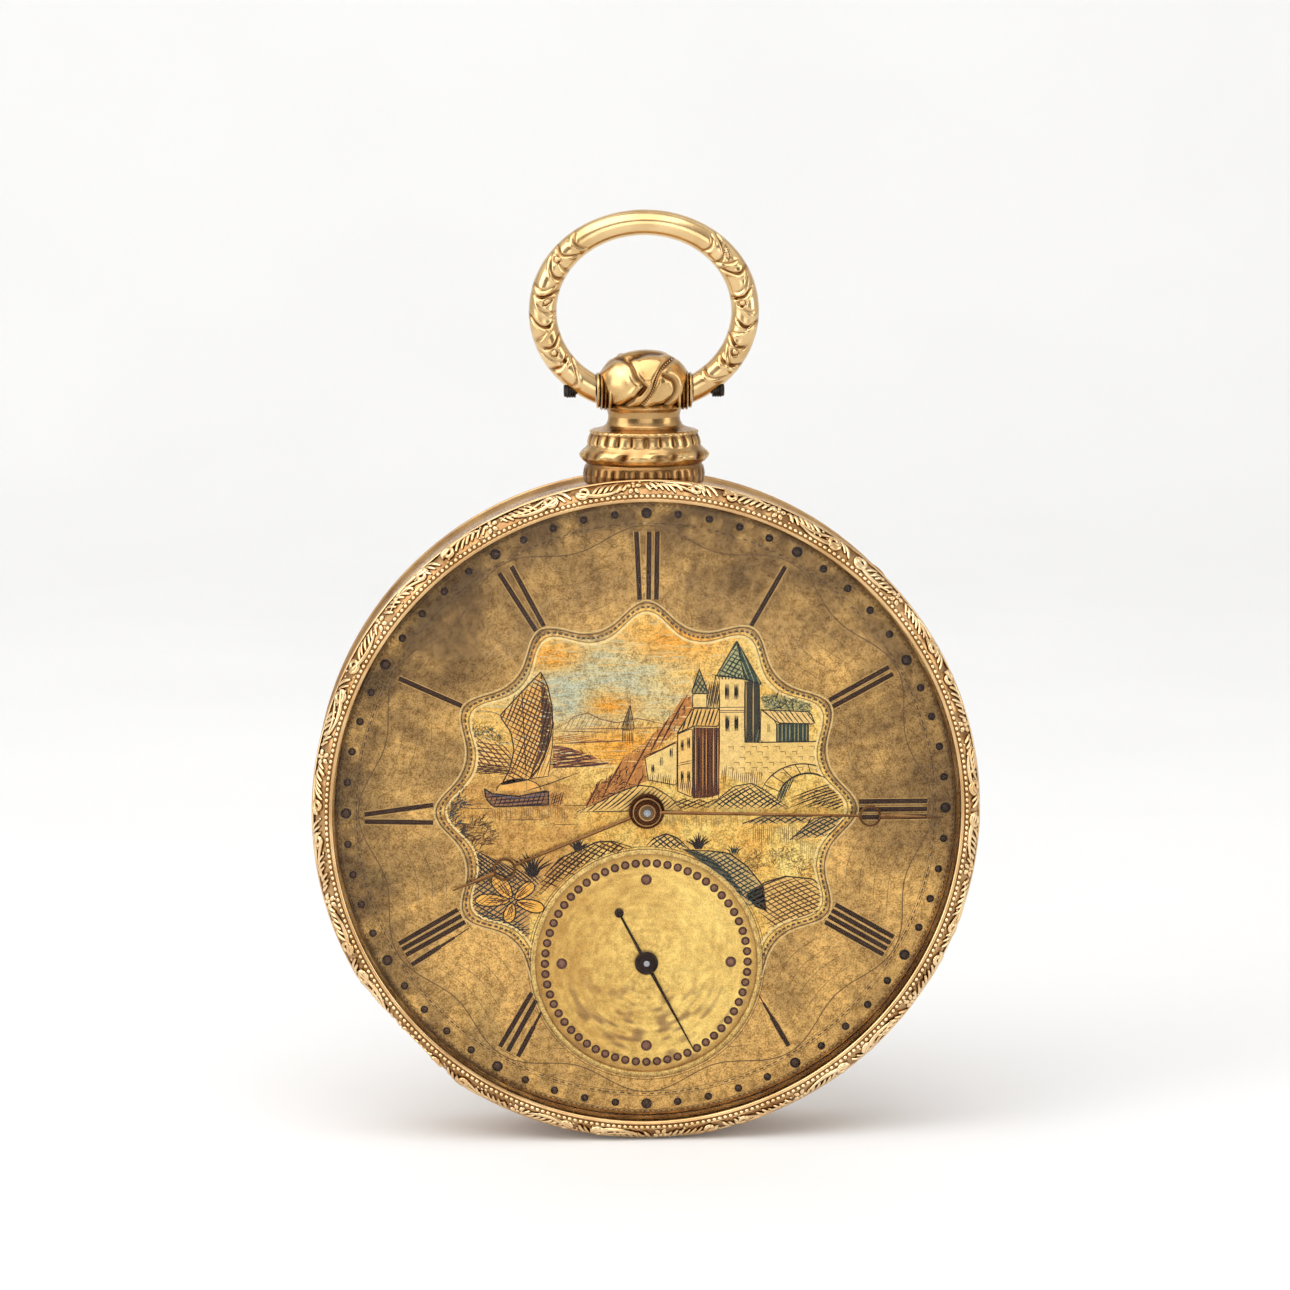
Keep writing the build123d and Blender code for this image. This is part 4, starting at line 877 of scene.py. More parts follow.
def windows(e, spots, width=0.22, height=0.6):
    for x, y in spots:
        e.hatch(box(x - width / 2, y - height / 2, x + width / 2, y + height / 2), 90, 0.07, 0.08, INK,
            rag=0.02)


def engrave_houses(e):
    wall = [(-0.1, 3.6), (2.05, 4.65), (2.05, 1.7), (0.1, 2.1)]
    e.fill(wall, PALE)
    e.loop(wall, width=0.07, tone=RUST)
    e.line([(-0.2, 3.7), (1.0, 4.15), (2.1, 4.75)], 0.12, RUST)
    windows(e, [(0.42, 2.85), (1.0, 3.35), (1.65, 3.95)])
    block = [(2.1, 5.2), (3.1, 5.6), (3.1, 0.85), (2.1, 1.3)]
    e.fill(block, (246, 198, 116))
    e.loop(block, width=0.07, tone=INK)
    e.lines([(2.1, 3.2), (3.1, 3.4)], [(2.1, 3.05), (3.1, 3.25)], width=0.05, tone=INK)
    windows(e, [(2.42, 4.45), (2.85, 4.6), (2.42, 2.3), (2.85, 2.3)], 0.18, 0.75)
    roof = [(2.05, 5.25), (3.1, 6.95), (4.9, 6.95), (4.9, 5.7), (3.2, 5.75)]
    e.fill(roof, (236, 186, 104))
    e.hatch(roof, 72, 0.27, 0.1, INK, rag=0.02)
    e.loop(roof, width=0.08, tone=INK)
    front = [(3.15, 5.65), (4.9, 5.6), (4.9, 1.05), (4.2, 0.85), (3.1, 0.8)]
    e.fill(front, (96, 52, 30))
    e.hatch(front, 90, 0.25, 0.07, (220, 150, 66), rag=0.3, drop=0.25)
    e.hatch(front, 90, 0.3, 0.1, (34, 20, 18), rag=0.1)
    turret = box(3.1, 7.0, 4.05, 7.95)
    e.fill(turret, PALE)
    e.loop(turret, width=0.06, tone=INK)
    cone = [(3.55, 9.6), (3.0, 7.95), (4.15, 7.95)]
    e.fill(cone, (168, 150, 102))
    e.hatch(cone, 62, 0.24, 0.09, TEAL)
    e.hatch(cone, -50, 0.26, 0.08, TEAL)
    e.loop(cone, width=0.08, tone=INK)
    e.line([(3.55, 10.0), (3.55, 9.5)], 0.06, INK)
    e.hatch([(4.1, 8.2), (4.5, 8.9), (4.9, 8.9), (4.9, 6.95), (4.1, 6.95)], 80, 0.12, 0.09, (60, 40, 34))
    e.hatch([(-0.1, 2.1), (2.1, 1.5), (3.0, 1.0), (4.9, 0.9), (4.9, 1.6), (2.1, 2.2), (0.2, 2.5)], 84, 0.13,
        0.07, RUST)


def engrave_tower(e):
    shaft = box(4.9, 2.3, 6.6, 8.95)
    e.fill(shaft, (246, 208, 132))
    side = box(6.6, 4.6, 7.6, 8.75)
    e.fill(side, (58, 54, 44))
    e.hatch(side, 90, 0.26, 0.06, (206, 168, 92), rag=0.4, drop=0.3)
    e.hatch(side, 78, 0.4, 0.07, (120, 128, 100), drop=0.3)
    e.lines([(4.9, 2.4), (4.9, 8.95)], [(6.6, 8.9), (6.6, 4.6)], [(7.6, 4.6), (7.6, 8.7)], width=0.08,
        tone=INK)
    for y in (7.0, 6.78, 6.66):
        e.line([(4.9, y), (6.6, y)], 0.06, (120, 92, 78), 1.0)
    windows(e, [(5.42, 8.05), (6.05, 8.05), (5.45, 5.9), (6.05, 5.9)], 0.26, 1.05)
    left = [(6.05, 11.5), (4.7, 9.15), (6.6, 8.95)]
    right = [(6.05, 11.5), (6.6, 8.95), (7.75, 8.5)]
    e.fill(left, (178, 172, 122))
    e.hatch(left, 56, 0.28, 0.1, TEAL, bend=0.03)
    e.hatch(left, -24, 0.28, 0.09, TEAL)
    e.fill(right, (60, 76, 66))
    e.hatch(right, 112, 0.26, 0.07, (168, 168, 120))
    e.hatch(right, 30, 0.3, 0.08, (28, 42, 40))
    e.loop(left, width=0.09, tone=INK)
    e.loop(right, width=0.09, tone=INK)
    for k in range(9):
        e.line([(4.62 + k * 0.22, 9.2), (4.66 + k * 0.22, 8.9)], 0.1, TEAL, 0.9)
    e.line([(4.4, 9.25), (6.6, 8.9), (7.85, 8.45)], 0.1, TEAL)


def engrave_right_houses(e):
    wood = [(7.65, 7.6), (8.3, 7.85), (9.4, 7.75), (10.6, 7.6), (11.1, 7.0), (11.0, 6.6), (8.0, 6.75)]
    e.fill(wood, (196, 176, 112), -0.004)
    e.leaves(wood, 10, 230, 0.34, 0.13, TEAL, 90)
    e.leaves(wood, 10, 90, 0.3, 0.1, (120, 140, 116), 90)
    gable = [(7.7, 6.85), (8.75, 5.95), (8.75, 4.6), (7.65, 4.6)]
    e.fill(gable, PALE)
    e.loop(gable, width=0.06, tone=INK)
    windows(e, [(8.2, 5.55)], 0.24, 0.55)
    roof = [(7.75, 6.8), (11.0, 6.65), (11.35, 5.8), (8.85, 5.9)]
    e.fill(roof, (244, 204, 128))
    e.hatch(roof, -52, 0.26, 0.07, INK, rag=0.02)
    e.loop(roof, width=0.08, tone=INK)
    front = box(8.8, 4.6, 10.9, 5.85)
    e.fill(front, (46, 62, 58))
    e.hatch(front, 90, 0.27, 0.07, (164, 150, 98), rag=0.05)
    e.loop(front, width=0.07, tone=INK)
    wall = [(4.9, 4.55), (12.4, 4.6), (12.7, 3.4), (12.2, 2.9), (9.4, 2.6), (8.2, 1.9), (7.4, 1.7),
        (4.9, 2.4)]
    e.fill(wall, (242, 202, 120), -0.004)
    for row in range(6):
        y = 4.3 - row * 0.36
        for k in range(9):
            x = 5.5 + k * 0.78 + 0.39 * (row % 2)
            if inside(wall, x, y) and chance.random() < 0.8:
                e.line([(x, y), (x + 0.34, y)], 0.09, (128, 84, 46), 0.5)
                e.line([(x + 0.34, y), (x + 0.34, y - 0.2)], 0.08, (128, 84, 46), 0.5)
    e.line([(6.6, 4.58), (12.4, 4.62)], 0.08, INK)
    e.hatch([(5.0, 2.9), (7.6, 2.6), (7.9, 1.7), (5.0, 2.0)], 86, 0.14, 0.06, (120, 80, 46), rag=0.25)
    e.hatch([(11.6, 4.5), (12.4, 4.5), (12.6, 3.4), (12.0, 3.2)], 88, 0.2, 0.05, (140, 104, 66))


def engrave_bridge(e):
    outer = arc(10.5, 0.5, 2.9, 2.6, 170, 30)
    inner = arc(10.9, 0.3, 2.15, 2.15, 172, 34)
    e.line(outer, 0.09, INK)
    e.line(inner, 0.12, INK)
    for k in range(2, 16, 2):
        e.line([outer[k], inner[k]], 0.06, INK, 1.0)
    e.hatch([*inner[:9], (9.9, 1.9), (9.5, 1.2), (9.3, 0.5)], 68, 0.11, 0.08, TEAL)
    bank = [(9.6, 0.1), (10.2, 1.0), (11.6, 1.5), (12.9, 2.2), (13.8, 1.6), (14.0, -0.3)]
    e.hatch(bank, 18, 0.2, 0.08, INK, bend=0.1, rag=0.4, drop=0.1)
    e.leaves(bank, 15, 200, 0.5, 0.07, INK, 25)


def engrave_mounds(e):
    low = [(-4.7, -0.05), (-3.2, 0.6), (-1.8, 1.3), (-0.6, 1.75), (0.5, 1.6), (1.6, 0.9), (2.3, 0.1)]
    e.fill(low, (240, 196, 112), -0.002)
    e.line(low, 0.08, INK, 0.5)
    e.hatch(low, 40, 0.24, 0.09, INK, bend=-0.12)
    e.line([(-4.7, -0.05), (2.4, 0.0)], 0.07, INK)
    middle = [(4.0, 0.1), (4.9, 0.8), (5.9, 1.6), (7.1, 1.8), (8.0, 1.3), (9.6, 0.05)]
    e.fill(middle, (242, 200, 116), -0.002)
    e.line(middle, 0.08, INK, 0.5)
    e.hatch(middle, 32, 0.26, 0.1, INK, bend=0.14)
    e.hatch(middle, -36, 0.3, 0.09, TEAL, bend=-0.12)
    flat = [(1.6, 0.9), (4.2, 0.7), (4.9, 0.8), (4.0, 0.1), (2.2, 0.1)]
    e.hatch(flat, 24, 0.22, 0.09, INK)
    e.hatch(flat, -20, 0.3, 0.08, RUST)
    for slab_shape in (
        [(6.5, -0.95), (7.9, -0.45), (11.2, -0.5), (10.9, -0.95)],
        [(9.7, -2.1), (11.3, -0.65), (13.6, -0.4), (12.2, -1.9)],
    ):
        e.fill(slab_shape, (214, 172, 100), -0.002)
        e.hatch(slab_shape, 30, 0.24, 0.1, TEAL, bend=0.05)
        e.hatch(slab_shape, -28, 0.3, 0.09, INK)
        e.line(slab_shape, 0.08, INK, 1.0)
    for k in range(46):
        x = 1.3 + k * 0.115
        e.line([(x, -0.3), (x, -0.5 - chance.random() * 0.9)], 0.04, (176, 138, 82), 0.2)
    for k in range(26):
        x = 7.2 + k * 0.14
        e.line([(x, -1.1), (x, -1.4 - chance.random() * 1.1)], 0.05, (140, 106, 62), 0.2)
    for k in range(22):
        x = 10.4 + k * 0.14
        e.line([(x, -2.1), (x, -2.5 - chance.random() * 1.4)], 0.04, (184, 146, 90), 0.2)


def engrave_foreground(e):
    mound = [(0.0, -2.4), (0.5, -1.9), (1.3, -1.6), (2.1, -1.9), (2.9, -2.7), (1.4, -2.6)]
    e.fill(mound, (244, 200, 116), -0.004)
    e.hatch(mound, 35, 0.26, 0.11, INK, bend=0.08)
    e.hatch(mound, -40, 0.28, 0.1, TEAL, bend=-0.08)
    e.line(mound[:5], 0.1, INK, 0.6)
    right = [(2.7, -2.75), (4.2, -2.8), (5.6, -3.0), (6.8, -3.9), (7.9, -5.3), (8.1, -7.0), (6.4, -6.3),
        (4.6, -4.2)]
    e.fill(right, (214, 178, 108), -0.004)
    e.hatch(right, 28, 0.27, 0.1, TEAL, bend=0.06)
    e.hatch(right, -36, 0.3, 0.1, (40, 62, 70), bend=-0.06)
    e.line(right[:6], 0.1, INK, 0.6)
    shade = [(2.3, -2.6), (3.3, -2.75), (4.4, -3.3), (5.6, -4.4), (6.6, -5.9), (5.6, -5.4), (4.4, -4.0)]
    e.fill(shade, (104, 92, 66), -0.001)
    e.hatch(shade, -20, 0.24, 0.12, (36, 32, 30), bend=0.1, rag=0.1)
    left = [(-1.0, -2.5), (-2.2, -2.1), (-3.3, -2.1), (-4.4, -2.6), (-5.8, -3.2), (-6.9, -4.4),
        (-7.6, -5.9), (-5.4, -4.6)]
    left.append((-3.4, -3.3))
    e.hatch(left, 42, 0.27, 0.11, INK, bend=0.08)
    e.hatch(left, -24, 0.3, 0.1, RUST, bend=-0.05)
    e.line(left[:6], 0.1, INK, 0.6)
    e.tuft(3.5, -2.7, 1.15, 11)
    e.tuft(-4.6, -2.8, 1.0, 9)
    e.tuft(-7.7, -4.5, 1.9, 13)
    e.tuft(5.9, -3.1, 0.8, 7, TEAL)
    for x, y, w in ((7.3, -3.6, 0.7), (9.2, -3.4, 1.2), (11.1, -4.0, 1.2)):
        bush = arc(x, y, w, 0.75, 0, 360, 12)
        e.leaves(bush, 60, 130, 0.3, 0.09, (112, 72, 40), 80)
    lower = [(6.7, -5.9), (8.0, -5.0), (9.4, -4.6), (11.2, -4.8), (12.4, -5.8), (12.6, -8.4), (11.3, -9.8)]
    lower += [(8.6, -9.0), (7.9, -7.3)]
    e.fill(lower, (236, 190, 108), -0.004)
    e.hatch(lower, 22, 0.28, 0.1, (92, 58, 32), bend=0.12)
    e.hatch(lower, -34, 0.32, 0.09, (96, 64, 38), bend=-0.1)
    e.line(lower[:5], 0.09, INK, 0.6)
    end = [(8.0, -8.4), (11.3, -8.8), (11.4, -10.0), (9.4, -11.6), (8.2, -11.0)]
    e.hatch(end, -12, 0.24, 0.1, INK)


def engrave_left_bank(e):
    shrubs = [(-13.9, 1.4), (-12.3, 1.5), (-12.2, 0.4), (-12.6, -0.8), (-12.0, -1.8), (-14.0, -2.0)]
    e.leaves(shrubs, 40, 300, 0.5, 0.1, (60, 66, 66), 50)
    lower = [(-12.6, -0.8), (-11.0, -0.5), (-10.1, -1.6), (-10.6, -2.6), (-12.4, -2.6), (-13.6, -1.6)]
    e.leaves(lower, 30, 260, 0.5, 0.1, (88, 58, 34), 50)
    bank = [(-13.2, -2.2), (-11.6, -2.5), (-9.6, -3.5), (-8.4, -4.1), (-7.0, -4.4), (-7.7, -6.2),
        (-7.9, -7.6)]
    bank += [(-8.0, -9.6), (-10.8, -9.2), (-12.0, -7.6), (-12.4, -5.4), (-12.2, -3.8)]
    e.fill(bank, (206, 158, 88), -0.004)
    e.hatch(bank, 36, 0.27, 0.1, (44, 56, 64), bend=0.05)
    e.hatch(bank, -30, 0.33, 0.09, (52, 44, 44), bend=-0.04, drop=0.1)
    upper = [(-13.2, -2.2), (-11.6, -2.5), (-8.4, -4.1), (-7.0, -4.4), (-7.4, -5.2), (-11.8, -4.8)]
    e.hatch(upper, -40, 0.22, 0.1, INK, bend=0.2)
    e.hatch([(-11.9, -6.8), (-9.0, -7.2), (-7.9, -8.0), (-8.4, -9.6), (-10.8, -9.0)], 8, 0.22, 0.1, TEAL,
        bend=0.1)


def engrave_flower(e):
    heart = (-9.0, -6.1)
    for tip, wide in (((-10.3, -4.3), 0.62), ((-7.6, -4.9), 0.5), ((-11.6, -6.0), 0.5),
        ((-9.4, -7.6), 0.48), ((-6.9, -6.7), 0.5)):
        dx, dy = tip[0] - heart[0], tip[1] - heart[1]
        n = math.hypot(dx, dy)
        ux, uy = dx / n, dy / n
        shape = []
        for k in range(25):
            a = 2 * math.pi * k / 24
            t = 0.54 - 0.46 * math.cos(a)
            w = wide * math.sin(a) * (0.55 + 0.5 * t)
            shape.append((heart[0] + dx * t - uy * w, heart[1] + dy * t + ux * w))
        e.fill(shape[:-1], (248, 184, 78), 0.006)
        e.z += 0.008
        e.line(shape, 0.09, INK, 1.0)
        for s in (-0.3, 0.0, 0.3):
            start = (heart[0] + dx * 0.15, heart[1] + dy * 0.15)
            mid = (heart[0] + dx * 0.4 - uy * wide * s * 0.8, heart[1] + dy * 0.4 + ux * wide * s * 0.8)
            stop = (heart[0] + dx * 0.72 - uy * wide * s, heart[1] + dy * 0.72 + ux * wide * s)
            e.line([start, mid, stop], 0.07, RUST, 0.3)
        e.z -= 0.008


def picture():
    e = Engraving()
    e.crest = 0.1
    engrave_sky(e)
    e.crest = 1.0
    engrave_far_shore(e)
    engrave_left_shore(e)
    engrave_right_point(e)
    engrave_boat(e)
    engrave_wooded_slope(e)
    e.z += 0.006
    engrave_houses(e)
    engrave_right_houses(e)
    engrave_tower(e)
    engrave_mounds(e)
    engrave_bridge(e)
    engrave_foreground(e)
    engrave_left_bank(e)
    engrave_flower(e)
    look = painted("engraved_lines", metallic=0.55, rough=(0.34, 0.5), reach=0.1, wear_and_shade=0.1, bump_mm=0.005)
    e.build("dial_picture", "case", "dial_gold", look, outward=False)


def reserve_line(offset, start=0.0, stop=2 * math.pi, steps=720):
    path = []
    for k in range(steps + 1):
        a = start + (stop - start) * k / steps
        r = float(reserve_radius(a)) + offset
        path.append((r * math.sin(a), r * math.cos(a)))
    return path


def outside_well(x, y):
    return np.hypot(x, np.asarray(y) - SUB_Y) > WELL_R + 0.34


def dial_borders():
    """The roped outline of the picture, the track's dotted circles and the faint outer waves."""
    e = Engraving(window=outside_well)
    e.line(reserve_line(0.27), 0.07, (92, 64, 44), 1.0, True)
    e.line(reserve_line(-0.27), 0.06, (150, 112, 66), 1.0, True)
    e.line(reserve_line(-0.42), 0.16, (248, 218, 150), 1.0, True)
    e.line(reserve_line(0.42), 0.1, (222, 190, 128), 1.0, True)
    steps = 250
    for k in range(steps):
        a = 2 * math.pi * k / steps
        dash = reserve_line(0.0, a, a + 2 * math.pi / steps * 0.62, 2)
        e.line(dash, 0.26, (84, 66, 58), 0.5)
    for k in range(240):
        a = k * 1.5
        if chance.random() < 0.9:
            e.line([clock(19.5, a), clock(19.5, a + 0.85)], 0.16, (84, 64, 48), 0.5)
    for k in range(360):
        e.line([clock(20.72, k), clock(20.72, k + 0.5)], 0.12, (84, 66, 48), 0.6)
    for radius in (19.36, 19.64, 20.62, 20.82):
        e.line([clock(radius, k * 2) for k in range(181)], 0.035, (118, 92, 60), 1.0, True)
    waves = []
    for k in range(721):
        a = math.radians(k / 2)
        r = 18.75 + 0.62 * math.cos(LOBES * a)
        waves.append((r * math.sin(a), r * math.cos(a)))
    e.line(waves, 0.07, (104, 78, 50), 1.0, True)
    for k in range(12):
        a = math.radians(15 + 30 * k)
        for r0 in (14.6, 15.6, 16.6, 17.6):
            curl = [((r0 + 0.5 * math.cos(LOBES * t)) * math.sin(t),
                (r0 + 0.5 * math.cos(LOBES * t)) * math.cos(t))
                    for t in np.linspace(a - 0.18, a + 0.18, 12)]
            e.line(curl, 0.035, (126, 98, 62), 0.3)
    look = painted("border_lines", metallic=0.6, reach=0.1, wear_and_shade=0.1, bump_mm=0.004)
    e.build("dial_borders", "case", "dial_gold", look, outward=False)


# the strokes of each hour: how far aside of the hour's ray, in mm, the outer and the inner end are
HOUR_STROKES = {
    12: ((-0.68, -0.46), (0.18, 0.14), (0.72, 0.66)),
    1: ((-0.2, -0.18),),
    2: ((-0.2, -0.28), (0.34, 0.22)),
    3: ((-0.48, -0.48), (0.07, 0.07), (0.6, 0.6)),
    4: ((-0.69, -0.69), (-0.23, -0.23), (0.23, 0.23), (0.69, 0.69)),
    5: ((-0.2, -0.2),),
    7: ((0.52, 0.5), (-0.1, 0.0), (-0.88, -0.68)),
    8: ((0.59, 0.59), (0.14, 0.1), (-0.33, -0.38), (-1.1, -0.89)),
    9: ((-0.09, 0.52), (-0.57, -0.68)),
    10: ((-0.37, 0.08),),
    11: ((-0.43, -0.26), (0.51, 0.35)),
}
TAPERED_STROKES = ((5, 0), (7, 2), (8, 3))


def numerals():
    """Worn numerals: only the thick strokes are left of each hour's figure."""
    e = Engraving(window=outside_well)
    inner, outer, width = 14.35, 18.95, 0.33
    for hour, strokes in HOUR_STROKES.items():
        out = Vector(clock(1, hour * 30))
        side = Vector(clock(1, hour * 30 + 90))
        for index, (far, near) in enumerate(strokes):
            low, high = out * inner + side * near, out * outer + side * far
            path = [tuple(low.lerp(high, t)) for t in np.linspace(0, 1, 9)]
            if (hour, index) in TAPERED_STROKES:
                for start, share in ((0, 0.25), (2, 0.6), (4, 1.0)):
                    e.line(path[start:], width * share, (58, 38, 28), 0.9)
                    e.z += 0.002
                e.z -= 0.006
            else:
                e.line(path, width, (58, 38, 28), 0.94)
            e.z += 0.012
            for _ in range(4):
                at = chance.uniform(0, 0.8)
                wear_and_shade = [tuple(low.lerp(high, at + t)) for t in (0, 0.05, 0.12)]
                e.line(wear_and_shade, width * 0.4, (104, 62, 34), 0.3)
            e.z -= 0.012
            for edge in (-0.6, 0.6):
                thin = [tuple(Vector(p) + side * edge * width) for p in path]
                e.line(thin, 0.05, (206, 164, 98), 0.8)
        for r in (inner - 0.1, outer + 0.1):
            ends = [tuple(out * r + side * t) for t in (strokes[0][0], (strokes[0][0] + strokes[-1][0]) / 2,
                strokes[-1][0])]
            e.line(ends, 0.05, (120, 90, 60), 0.6)
    look = painted("numeral_enamel", metallic=0.75, rough=(0.3, 0.48), reach=0.1, wear_and_shade=0.1, bump_mm=0.014)
    e.build("dial_numerals", "case", "dial_gold", look, outward=False)


def stud(piece, at, radius, z, ring_tone, core_tone):
    """A small ringed dot: a low rim around a domed core."""
    rim = [(radius, 0), (radius * 0.95, 0.035), (radius * 0.72, 0.035), (radius * 0.6, 0.0)]
    points, faces = turned([(r, z + h) for r, h in rim], 16, at=at)
    piece.add(points, faces, ring_tone)
    piece.add(*blob((*at, z), (1, 0, 0), (0, 0, 1), radius * 0.62, radius * 0.62, 0.05, 3, 10),
        tone=core_tone)


def dial_dots():
    """Sixty minute dots, heavier at the hours, and the dots of the seconds dial."""
    minutes, seconds = Piece(), Piece()
    # Every core is lighter than its ring: a painted highlight on the domed dot.
    for k in range(60):
        fade = 0.5 + 0.5 * math.cos(math.radians(k * 6 - 60))
        ring = mix((54, 38, 32), (34, 24, 20), fade)
        core = mix((92, 66, 52), (64, 46, 38), fade)
        stud(minutes, clock(TRACK_R, k * 6), 0.37 if k % 5 == 0 else 0.27, DIAL_TOP, ring, core)
    for k in range(60):
        x, y = clock(6.86, k * 6)
        stud(seconds, (x, y + SUB_Y), 0.3, SUB_TOP, (84, 54, 42), (140, 100, 80))
    for k in range(4):
        x, y = clock(5.72, k * 90)
        stud(seconds, (x, y + SUB_Y), 0.38, SUB_TOP, (96, 64, 52), (140, 98, 82))
    look = painted("enamel_dots", metallic=0.65, rough=(0.3, 0.5), reach=0.08, wear_and_shade=0.2, bump_mm=0.02)
    minutes.build("minute_dots", "case", "dial_gold", look)
    seconds.build("seconds_dots", "case", "seconds_gold", look)


def dial():
    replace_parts(dial_ground(), "dial")
    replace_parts(seconds_ground(), "seconds_dial")
    picture()
    dial_borders()
    numerals()
    dial_dots()
    well = Piece()
    for radius, width in ((WELL_R + 0.36, 0.05), (WELL_R + 0.52, 0.04)):
        ring = Engraving(window=None)
        ring.line([(radius * math.cos(a), SUB_Y + radius * math.sin(a)) for a in np.linspace(0, 2 * math.pi,
            181)],
                  width, (110, 78, 46), 1.0, True)
        for points, tone in zip(ring.points, ring.tones):
            n = len(points) // 3
            faces = [(i * 3 + a, i * 3 + a + 1, i * 3 + a + 4,
                i * 3 + a + 3) for i in range(n - 1) for a in (0, 1)]
            well.add(points, faces, tone)
    look = painted("well_lines", metallic=0.6, reach=0.1, wear_and_shade=0.1, bump_mm=0.004)
    well.build("seconds_rim_lines", "case", "dial_gold", look, outward=False)


# ------------------------------------------------------------------ hinge line
def on_hinge(out, beside, z):
    """A bench point this far out along the hinge direction and this far beside it."""
    x, y = polar(1, HINGE_DEG)
    return (x * out - y * beside, y * out + x * beside, z)


def hinge_barrel(piece, out, z, radius, start, end, tone=(255, 255, 255)):
    """One rounded knuckle lying along a hinge."""
    soft = 0.08
    profile = [(0.02, start), (radius - soft, start), (radius, start + soft)]
    profile += [(radius, end - soft), (radius - soft, end), (0.02, end)]

    def surface(u, v):
        k = np.rint(v * 5).astype(int)
        r, t = np.array(profile)[k].transpose(2, 0, 1)
        return on_hinge(out + r * np.cos(2 * np.pi * u), t, z + r * np.sin(2 * np.pi * u))

    piece.add(*sheet(surface, 28, 6, True, False), tone=tone)


def hinge_side(angle):
    """How far round from the hinge an angle is, in degrees."""
    return (np.degrees(angle) - HINGE_DEG + 180) % 360 - 180


# ------------------------------------------------------------------ bezel
SLOPE = [(21.66, 3.33), (21.8, 3.24), (22.02, 3.06), (22.2, 2.82), (22.32, 2.58), (22.4, 2.4)]


def on_slope(run, share, lift):
    """A point on the bezel's ornate slope: run is mm round the rim, share 0 inside to 1 outside."""
    shares = np.linspace(0, 1, len(SLOPE))
    r = np.interp(share, shares, [p[0] for p in SLOPE])
    z = np.interp(share, shares, [p[1] for p in SLOPE])
    tilt = math.radians(20) + np.asarray(share) * math.radians(50)
    angle = np.asarray(run) / 22.0
    beside = np.abs(hinge_side(angle)) * math.pi / 180
    r = r + lift * np.sin(tilt)
    chord = (FLAT - 0.02) / np.cos(np.clip(beside, 0, 1.2))
    r = np.where(beside < 0.42, np.minimum(r, chord), r)
    return np.stack([r * np.cos(angle), r * np.sin(angle), z + lift * np.cos(tilt)], -1)


def bezel_ring():
    """The bezel's body: a bevel round the glass, a bead seat and a rough slope under the chasing."""
    base, rebate = BEZEL_BASE, DIAL_TOP + 0.31
    outline = [(21.12, rebate), (21.11, 2.75), (21.36, 2.76), (21.36, 3.14), (21.12, 3.16), (21.13, 3.33)]
    outline += [(21.17, 3.37), (21.24, 3.4), (21.31, 3.4), (21.35, 3.36), (21.38, 3.31), (21.5, 3.3),
        (21.64, 3.3)]
    outline += [(21.67, 3.32), *SLOPE, (22.42, 2.38), (22.46, 2.36), (22.5, 2.3), (22.5, 2.1), (22.46, base)]
    outline += [(21.62, base), (21.6, rebate)]
    r, z = np.array(outline).T
    steps = 1440

    def surface(u, v):
        angle = u * 2 * np.pi
        k = np.rint(v * len(r)).astype(int)
        radius, height = r[k], z[k]
        slope = (k > 13) & (k < 20)
        rough = blotches(angle * 22, k * 0.6, 0.4, 31) - 0.5
        radius = radius + np.where(slope, 0.07 * rough - 0.05, 0)
        height = height + np.where(slope, 0.05 * rough - 0.04, 0)
        seat = (k > 9) & (k < 13)
        # Painted shade with dirt darkens the rough slope between the chasing, painted shade darkens the bead
        # seat between the beads, and the back faces are darker than the rest.
        dirt_and_shade = np.where(slope, 0.42 + 0.5 * rough, np.where(seat, 0.7, 0.1 + 0.35 * (k > 23)))
        beside = np.radians(np.abs(hinge_side(angle)))
        chord = FLAT / np.cos(np.clip(beside, 0, 1.2))
        radius = np.where(beside < 0.42, np.minimum(radius, chord), radius)
        return radius * np.cos(angle), radius * np.sin(angle), height, dirt_and_shade

    ring = Piece()
    ring.add(*sheet(surface, steps, len(r)))
    hinge_barrel(ring, HINGE_R, BAND_FRONT - 0.8, 0.55, -1.6, 1.6)
    look = gold("bezel_gold", (244, 208, 154), (212, 172, 120), (0.2, 0.34), 0.7, 0.3, (64, 42, 26),
        toned=True)
    piece = ring.build("bezel_ring", "bezel", "case_gold", look)
    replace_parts(piece, "bezel")


def scroll_run(start, way, high):
    """A C scroll along the slope: a small spiral that opens into a long stem."""
    path = []
    for k in range(26):
        t = k / 25
        a = (1.0 - t) * 2.6 * math.pi
        size = 0.08 + 0.3 * t
        path.append((start + way * (0.5 - math.cos(a) * size * 1.25), 0.5 + high * math.sin(a) * size * 0.9))
    last_run, last_share = path[-1]
    for k in range(1, 20):
        t = k / 19
        path.append((last_run + way * 3.1 * t, last_share + high * (0.34 * math.sin(t * math.pi * 0.9))))
    return np.array(path)


def chased(piece, path, thick, lift=0.02, tone=(255, 255, 255)):
    """A raised rib along (run, share) points on the slope."""
    path = np.asarray(path, float)
    points = on_slope(path[:, 0], np.clip(path[:, 1], -0.05, 1.02), lift)
    n = len(points)
    share = np.linspace(0, 1, n)
    radii = thick * (0.35 + 0.65 * np.sin(np.pi * np.clip(share * 0.86 + 0.1, 0, 1)))
    piece.add(*swept(points, radii, 7), tone=tone)


